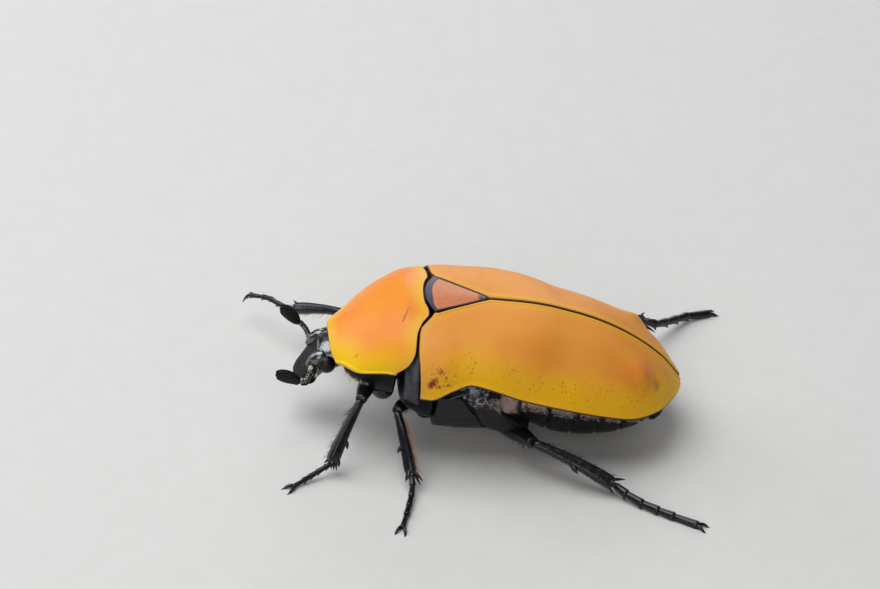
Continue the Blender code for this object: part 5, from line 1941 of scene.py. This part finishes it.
@dataclass
class Tuft:
    """Many fine hairs joined in one mesh, each a thin bowed blade of three sides."""

    name: str
    roots: Array
    aims: Array
    lengths: Array
    radius: float = 0.016
    droop: float = 0.35

    def build(self) -> Object:
        """Make the hairs.

        Returns:
            One mesh in the roots' frame, with the OFBake map and a tip attribute.
        """
        count = len(self.roots)
        aims = self.aims / np.linalg.norm(self.aims, axis=1, keepdims=True)
        helper = np.where(np.abs(aims[:, 2:3]) > 0.9, [[1.0, 0.0, 0.0]], [[0.0, 0.0, 1.0]])
        side = np.cross(aims, helper)
        side /= np.linalg.norm(side, axis=1, keepdims=True)
        other = np.cross(side, aims)
        rings, sides = (0.0, 0.35, 0.7), 3
        corners, tips = [], []
        for share, size in zip(rings, (1.0, 0.8, 0.5)):
            middle = self.roots + aims * (self.lengths * share)[:, None]
            middle[:, 2] -= self.droop * self.lengths * share ** 2
            for k in range(sides):
                turn = 2.0 * math.pi * k / sides
                spoke = side * math.cos(turn) + other * math.sin(turn)
                corners.append(middle + spoke * self.radius * size)
                tips.append(np.full(count, share))
        end = self.roots + aims * self.lengths[:, None]
        end[:, 2] -= self.droop * self.lengths
        corners.append(end)
        tips.append(np.ones(count))
        verts = np.stack(corners, axis=1).reshape(-1, 3)
        faces = [(2, 1, 0)]
        for ring in range(len(rings) - 1):
            for k in range(sides):
                a, b = ring * sides + k, ring * sides + (k + 1) % sides
                faces.append((a, b, b + sides, a + sides))
        last = (len(rings) - 1) * sides
        faces += [(last + k, last + (k + 1) % sides, last + sides) for k in range(sides)]
        per = len(corners)
        every = [tuple(v + per * i for v in face) for i in range(count) for face in faces]
        mesh = bpy.data.meshes.new(self.name)
        mesh.from_pydata(verts.tolist(), [], every)
        layer = mesh.attributes.new("tip", "FLOAT", "POINT")
        layer.data.foreach_set("value", np.stack(tips, axis=1).ravel())
        self.unwrap(mesh, per)
        piece = bpy.data.objects.new(self.name, mesh)
        bpy.context.scene.collection.objects.link(piece)
        return piece

    def unwrap(self, mesh: bpy.types.Mesh, per: int) -> None:
        """Give each hair a small patch of its own, at its root's place on the skin laid flat.

        Args:
            mesh: the hairs.
            per: corners of a hair.
        """
        low, high = self.roots.min(axis=0), self.roots.max(axis=0)
        wide = np.sort(np.argsort(high - low)[-2:])
        place = 0.02 + 0.955 * (self.roots - low)[:, wide] / np.maximum((high - low)[wide], 1e-6)
        layer = mesh.uv_layers.new(name="OFBake")
        loops = np.empty(len(mesh.loops), dtype=np.int64)
        mesh.loops.foreach_get("vertex_index", loops)
        hair, corner = loops // per, loops % per
        offset = np.stack([(corner % 3) * 0.0013, (corner // 3) * 0.0009], axis=-1)
        layer.data.foreach_set("uv", (place[hair] + offset).ravel())


@dataclass
class Coat:
    """The beetle's hair: leg fringes, down on the flanks, and bristles on the cheeks and under the breast.
    """

    stance: Stance
    legs: Sequence[Leg]
    underside: Underside

    def fringe(self, leg: Leg, rng: np.random.Generator) -> Tuft:
        """Hairs along the inner edge of a shin and under its thigh.

        Args:
            leg: the leg.
            rng: the random numbers.

        Returns:
            The tuft in the standing frame.
        """
        roots, aims, lengths = [], [], []
        knee, ankle, hip = Vector(leg.knee), Vector(leg.ankle), Vector(leg.hip)
        shin, length = leg.lie(knee, ankle), (ankle - knee).length
        for _ in range(leg.make.bristles):
            share = rng.uniform(0.12, 0.93)
            turn = math.pi + rng.normal(0.0, 0.45)
            out = Vector((leg.outer * math.cos(turn), math.sin(turn), 0.0))
            radius = leg.make.tibia * (0.7 + 0.25 * share) * 0.9
            roots.append(shin @ (out * radius + Vector((0.0, leg.shin_bow * length, length * share))))
            aims.append(shin.to_3x3() @ (out + Vector((0.0, 0.0, rng.uniform(0.7, 1.3)))))
            lengths.append(rng.uniform(0.3, 0.65) * (1.2 if leg.pair is Pair.MID else 1.0))
        thigh, length = leg.lie(hip, knee), (knee - hip).length
        for _ in range(leg.make.bristles // 2):
            share = rng.uniform(0.25, 0.95)
            turn = -math.pi / 2.0 + rng.normal(0.0, 0.4)
            out = Vector((math.cos(turn), math.sin(turn), 0.0))
            radius = leg.make.femur * (1.0 - 0.6 * abs(share - 0.5)) * 0.8
            arch = leg.make.bow * length * math.sin(math.pi * share)
            roots.append(thigh @ (out * radius + Vector((0.0, arch, length * share))))
            aims.append(thigh.to_3x3() @ (out + Vector((0.0, 0.0, rng.uniform(0.4, 1.0)))))
            lengths.append(rng.uniform(0.25, 0.5))
        return Tuft(f"fringe_{leg.label}", np.array(roots), np.array(aims), np.array(lengths), 0.014, 0.1)

    def flank(self, side: str, sign: float, rng: np.random.Generator) -> Tuft:
        """Short pale down along the side of the hind body, swept to the rear.

        Args:
            side: left or right.
            sign: 1 for left, -1 for right.
            rng: the random numbers.

        Returns:
            The tuft in body millimetres.
        """
        trunk, ring, count = self.underside.abdomen(), self.underside.metathorax(), 1900
        y = np.concatenate([rng.uniform(4.05, 6.2, 500), rng.uniform(5.2, 15.2, count - 500)])
        joints = np.array(SideFinish().joints)
        y = y[np.min(np.abs(y[:, None] - joints), axis=1) > 0.2]
        z = 5.95 - 0.13 * y - 0.7 * (1.0 - fade(y, 5.0, 7.0)) + rng.uniform(-0.1, 1.15, len(y))
        x = np.where(y < 4.88, ring.side_x(np.minimum(y, 4.6), z), trunk.side_x(y, z))
        aims = np.stack([sign * rng.uniform(0.25, 0.5, len(y)), rng.uniform(0.7, 1.1, len(y)),
                         rng.uniform(-0.5, 0.0, len(y))], -1)
        roots = np.stack([sign * (x - 0.02), y, z], -1)
        return Tuft(f"down_{side}", roots, aims, rng.uniform(0.16, 0.34, len(y)), 0.012, 0.1)

    def cheek(self, side: str, sign: float, rng: np.random.Generator) -> Tuft:
        """Cream bristles in three small patches on a cheek.

        Args:
            side: left or right.
            sign: 1 for left, -1 for right.
            rng: the random numbers.

        Returns:
            The tuft in body millimetres.
        """
        spots = np.array([(1.62, -7.52, 4.36)] * 3 + [(1.62, -7.45, 3.98), (1.65, -7.05, 3.82)])
        pick = rng.integers(0, len(spots), 100)
        roots = (spots[pick] + rng.normal(0.0, 0.06, (len(pick), 3))) * np.array([sign, 1.0, 1.0])
        aims = np.array([sign * 0.6, -0.45, -0.75]) + rng.normal(0.0, 0.22, (len(pick), 3))
        return Tuft(f"cheek_{side}", roots, aims, rng.uniform(0.12, 0.26, len(pick)), 0.02, 0.1)

    def breast(self, side: str, sign: float, rng: np.random.Generator) -> Tuft:
        """A few yellowish bristles in front of a front hip, under the pronotum.

        Args:
            side: left or right.
            sign: 1 for left, -1 for right.
            rng: the random numbers.

        Returns:
            The tuft in body millimetres.
        """
        ring, count = self.underside.prothorax(), 70
        y, z = rng.uniform(-5.2, -3.7, count), rng.uniform(4.1, 4.9, count)
        roots = np.stack([sign * (ring.side_x(y, z) - 0.03), y, z], -1)
        aims = np.stack([sign * rng.uniform(0.2, 0.6, count), rng.uniform(-0.5, 0.3, count),
                         rng.uniform(-1.0, -0.7, count)], -1)
        return Tuft(f"breast_{side}", roots, aims, rng.uniform(0.3, 0.6, count), 0.013, 0.05)

    def build(self) -> None:
        """Make and mount every tuft."""
        rng = np.random.default_rng(11)
        cream = HairFinish("cream_bristle", (0.85, 0.8, 0.6), (0.6, 0.52, 0.34)).make(self.stance)
        gold = HairFinish("gold_bristle", (0.5, 0.2, 0.05), (0.12, 0.05, 0.02)).make(self.stance)
        dark = HairFinish("brown_bristle", (0.1, 0.045, 0.022), (0.02, 0.01, 0.008)).make(self.stance)
        grey = HairFinish("grey_down", (0.72, 0.6, 0.54), (0.34, 0.27, 0.24)).make(self.stance)
        for leg in self.legs:
            tuft = self.fringe(leg, rng).build()
            Bench.mount(tuft, self.stance.floor(), gold if leg.pair is Pair.MID else dark, Slot.CHITIN)
        for side, sign in SIDES:
            for tuft, hair in ((self.flank(side, sign, rng), grey), (self.cheek(side, sign, rng), cream),
                               (self.breast(side, sign, rng), cream)):
                Bench.mount(tuft.build(), self.stance.body(), hair, Slot.CHITIN)


@dataclass
class Studio:
    """A pale floor, soft light from above and the camera at the photograph's angle."""

    stance: Stance
    azimuth: float = math.radians(81.0)
    elevation: float = math.radians(35.0)
    roll: float = math.radians(10.3)
    target: Point = (0.0, 4.0, 7.0)
    distance: float = 245.05
    focal: float = 3650.0
    centre: tuple[float, float] = (485.9, 335.8)
    size: tuple[float, float] = (880.0, 589.0)
    sensor: float = 36.0
    lamps: tuple[tuple[str, Point, float, float, Colour], ...] = (
        ("sky", (-0.03, -0.12, 0.34), 0.32, 1.25, (0.94, 0.97, 1.0)),
        ("front", (-0.14, -0.29, 0.15), 0.22, 0.42, (0.85, 0.92, 1.0)),
        ("rim", (-0.36, 0.05, 0.15), 0.22, 0.38, (0.95, 0.97, 1.0)),
        ("fill", (0.3, -0.1, 0.17), 0.24, 0.33, (1.0, 0.98, 0.95)))
    sky: Colour = (0.85, 0.9, 1.0)
    sky_strength: float = 0.16

    def camera(self) -> None:
        """Place the camera by the view that was matched to the photograph in the body's frame."""
        a, e = self.azimuth, self.elevation
        back = Vector((math.sin(a) * math.cos(e), -math.cos(a) * math.cos(e), math.sin(e)))
        right = Vector((math.cos(a), math.sin(a), 0.0))
        up = back.cross(right)
        right, up = (right * math.cos(self.roll) + up * math.sin(self.roll),
                     up * math.cos(self.roll) - right * math.sin(self.roll))
        eye = Vector(self.target) + back * self.distance
        aim = back * self.focal - right * (self.size[0] / 2.0 - self.centre[0])
        back = (aim - up * (self.centre[1] - self.size[1] / 2.0)).normalized()
        up = (up - back * up.dot(back)).normalized()
        right = up.cross(back)
        view = Matrix((right, up, back)).transposed().to_4x4()
        view.translation = eye
        place = self.stance.body() @ view
        data = bpy.data.cameras.new("photo_camera")
        data.sensor_width = self.sensor
        data.lens = self.focal * self.sensor / self.size[0]
        data.clip_start = 0.005
        camera = bpy.data.objects.new("photo_camera", data)
        bpy.context.scene.collection.objects.link(camera)
        place, turn, _ = place.decompose()
        camera.matrix_world = Matrix.Translation(place) @ turn.to_matrix().to_4x4()
        bpy.context.scene.camera = camera

    def lamp(self, name: str, place: Point, size: float, power: float, colour: Colour) -> None:
        """A square soft light that looks at the beetle.

        Args:
            name: the lamp's name.
            place: where it stands, in metres.
            size: the length of its side.
            power: its power in watts.
            colour: its colour.
        """
        data = bpy.data.lights.new(name, "AREA")
        data.shape, data.size, data.energy, data.color = "SQUARE", size, power, colour
        lamp = bpy.data.objects.new(name, data)
        bpy.context.scene.collection.objects.link(lamp)
        lamp.location = place
        lamp.rotation_euler = (Vector(place) - Vector((0.0, 0.0, 0.005))).to_track_quat("Z", "Y").to_euler()

    def floor(self) -> None:
        """A plain pale floor."""
        Bench.only()
        bpy.ops.mesh.primitive_grid_add(x_subdivisions=2, y_subdivisions=2, size=3.0)
        floor = Bench.name("studio_floor")
        graph = Graph("studio_paper", self.stance)
        grain = graph.noise(0.6, 3.0)
        colour = graph.blend(grain, (0.6, 0.58, 0.55), (0.64, 0.62, 0.59))
        floor.data.materials.append(graph.close(colour, 0.9, graph.relief(grain, 0.00002)))

    def build(self) -> None:
        """Set the stage."""
        self.camera()
        self.floor()
        for lamp in self.lamps:
            self.lamp(*lamp)
        world = bpy.data.worlds.new("studio")
        world.use_nodes = True
        back = world.node_tree.nodes["Background"]
        back.inputs["Color"].default_value = (*self.sky, 1.0)
        back.inputs["Strength"].default_value = self.sky_strength
        bpy.context.scene.world = world
        bpy.context.scene.view_settings.view_transform = "Standard"


def make_legs(stance: Stance) -> list[Leg]:
    """The six legs in the photograph's stride.

    Args:
        stance: where the body stands.

    Returns:
        The legs, from front to hind and the left side first.
    """
    sole = 0.13
    return [
        Leg(stance, Pair.FRONT, "left", (0.75, -3.1, 3.2), (4.87, -3.92, 4.65), (7.0, -5.75, 0.9),
            ((7.75, -7.05, 0.42), (8.62, -8.25, sole))),
        Leg(stance, Pair.MID, "left", (1.1, -0.1, 1.95), (4.83, -1.48, 3.8), (8.1, -0.45, 1.0),
            ((9.0, -0.35, 0.5), (10.95, -0.74, 0.27), (12.6, -1.15, sole))),
        Leg(stance, Pair.HIND, "left", (1.35, 5.3, 0.8), (6.5, 7.6, 2.75), (8.3, 13.1, 0.8),
            ((9.3, 14.3, 0.4), (10.5, 16.4, 0.24), (11.5, 18.4, sole))),
        Leg(stance, Pair.FRONT, "right", (-0.75, -3.1, 3.2), (-4.86, -4.66, 4.75), (-7.75, -8.15, 2.93),
            ((-8.2, -8.97, 2.78), (-9.25, -9.86, 2.73), (-10.2, -11.1, 2.22)), claw=0.7, hook=0.62),
        Leg(stance, Pair.MID, "right", (-1.1, -0.1, 1.95), (-4.9, 0.3, 3.7), (-8.1, 1.9, 1.0),
            ((-9.1, 2.4, 0.5), (-10.8, 3.2, 0.27), (-12.1, 3.4, sole))),
        Leg(stance, Pair.HIND, "right", (-1.35, 6.35, 1.35), (-5.6, 11.0, 3.0), (-8.75, 16.5, 2.15),
            ((-9.25, 17.45, 1.5), (-10.6, 18.6, 0.9), (-11.9, 19.9, 0.45), (-12.7, 21.6, sole))),
    ]


def main() -> None:
    """Build the beetle, piece by piece, and set the stage."""
    logging.basicConfig(level=logging.INFO, format="%(name)s: %(message)s")
    stance = Stance()
    back = Back(stance)
    back.build()
    underside = Underside(stance, back)
    underside.build()
    Head(stance).build()
    finishes = {
        "smooth": ChitinFinish("leg_shell", roughness=0.1, pits_per_mm=5.0, pit_depth=0.015,
                               pit_share=0.4, specular=0.42).make(stance),
        "rough": ChitinFinish("shin_shell", roughness=0.14, pits_per_mm=4.0, pit_depth=0.06,
                              pit_share=0.85, specular=0.4).make(stance)}
    legs = make_legs(stance)
    for leg in legs:
        leg.build(finishes)
    Coat(stance, legs, underside).build()
    Studio(stance).build()


if __name__ == "__main__":
    main()
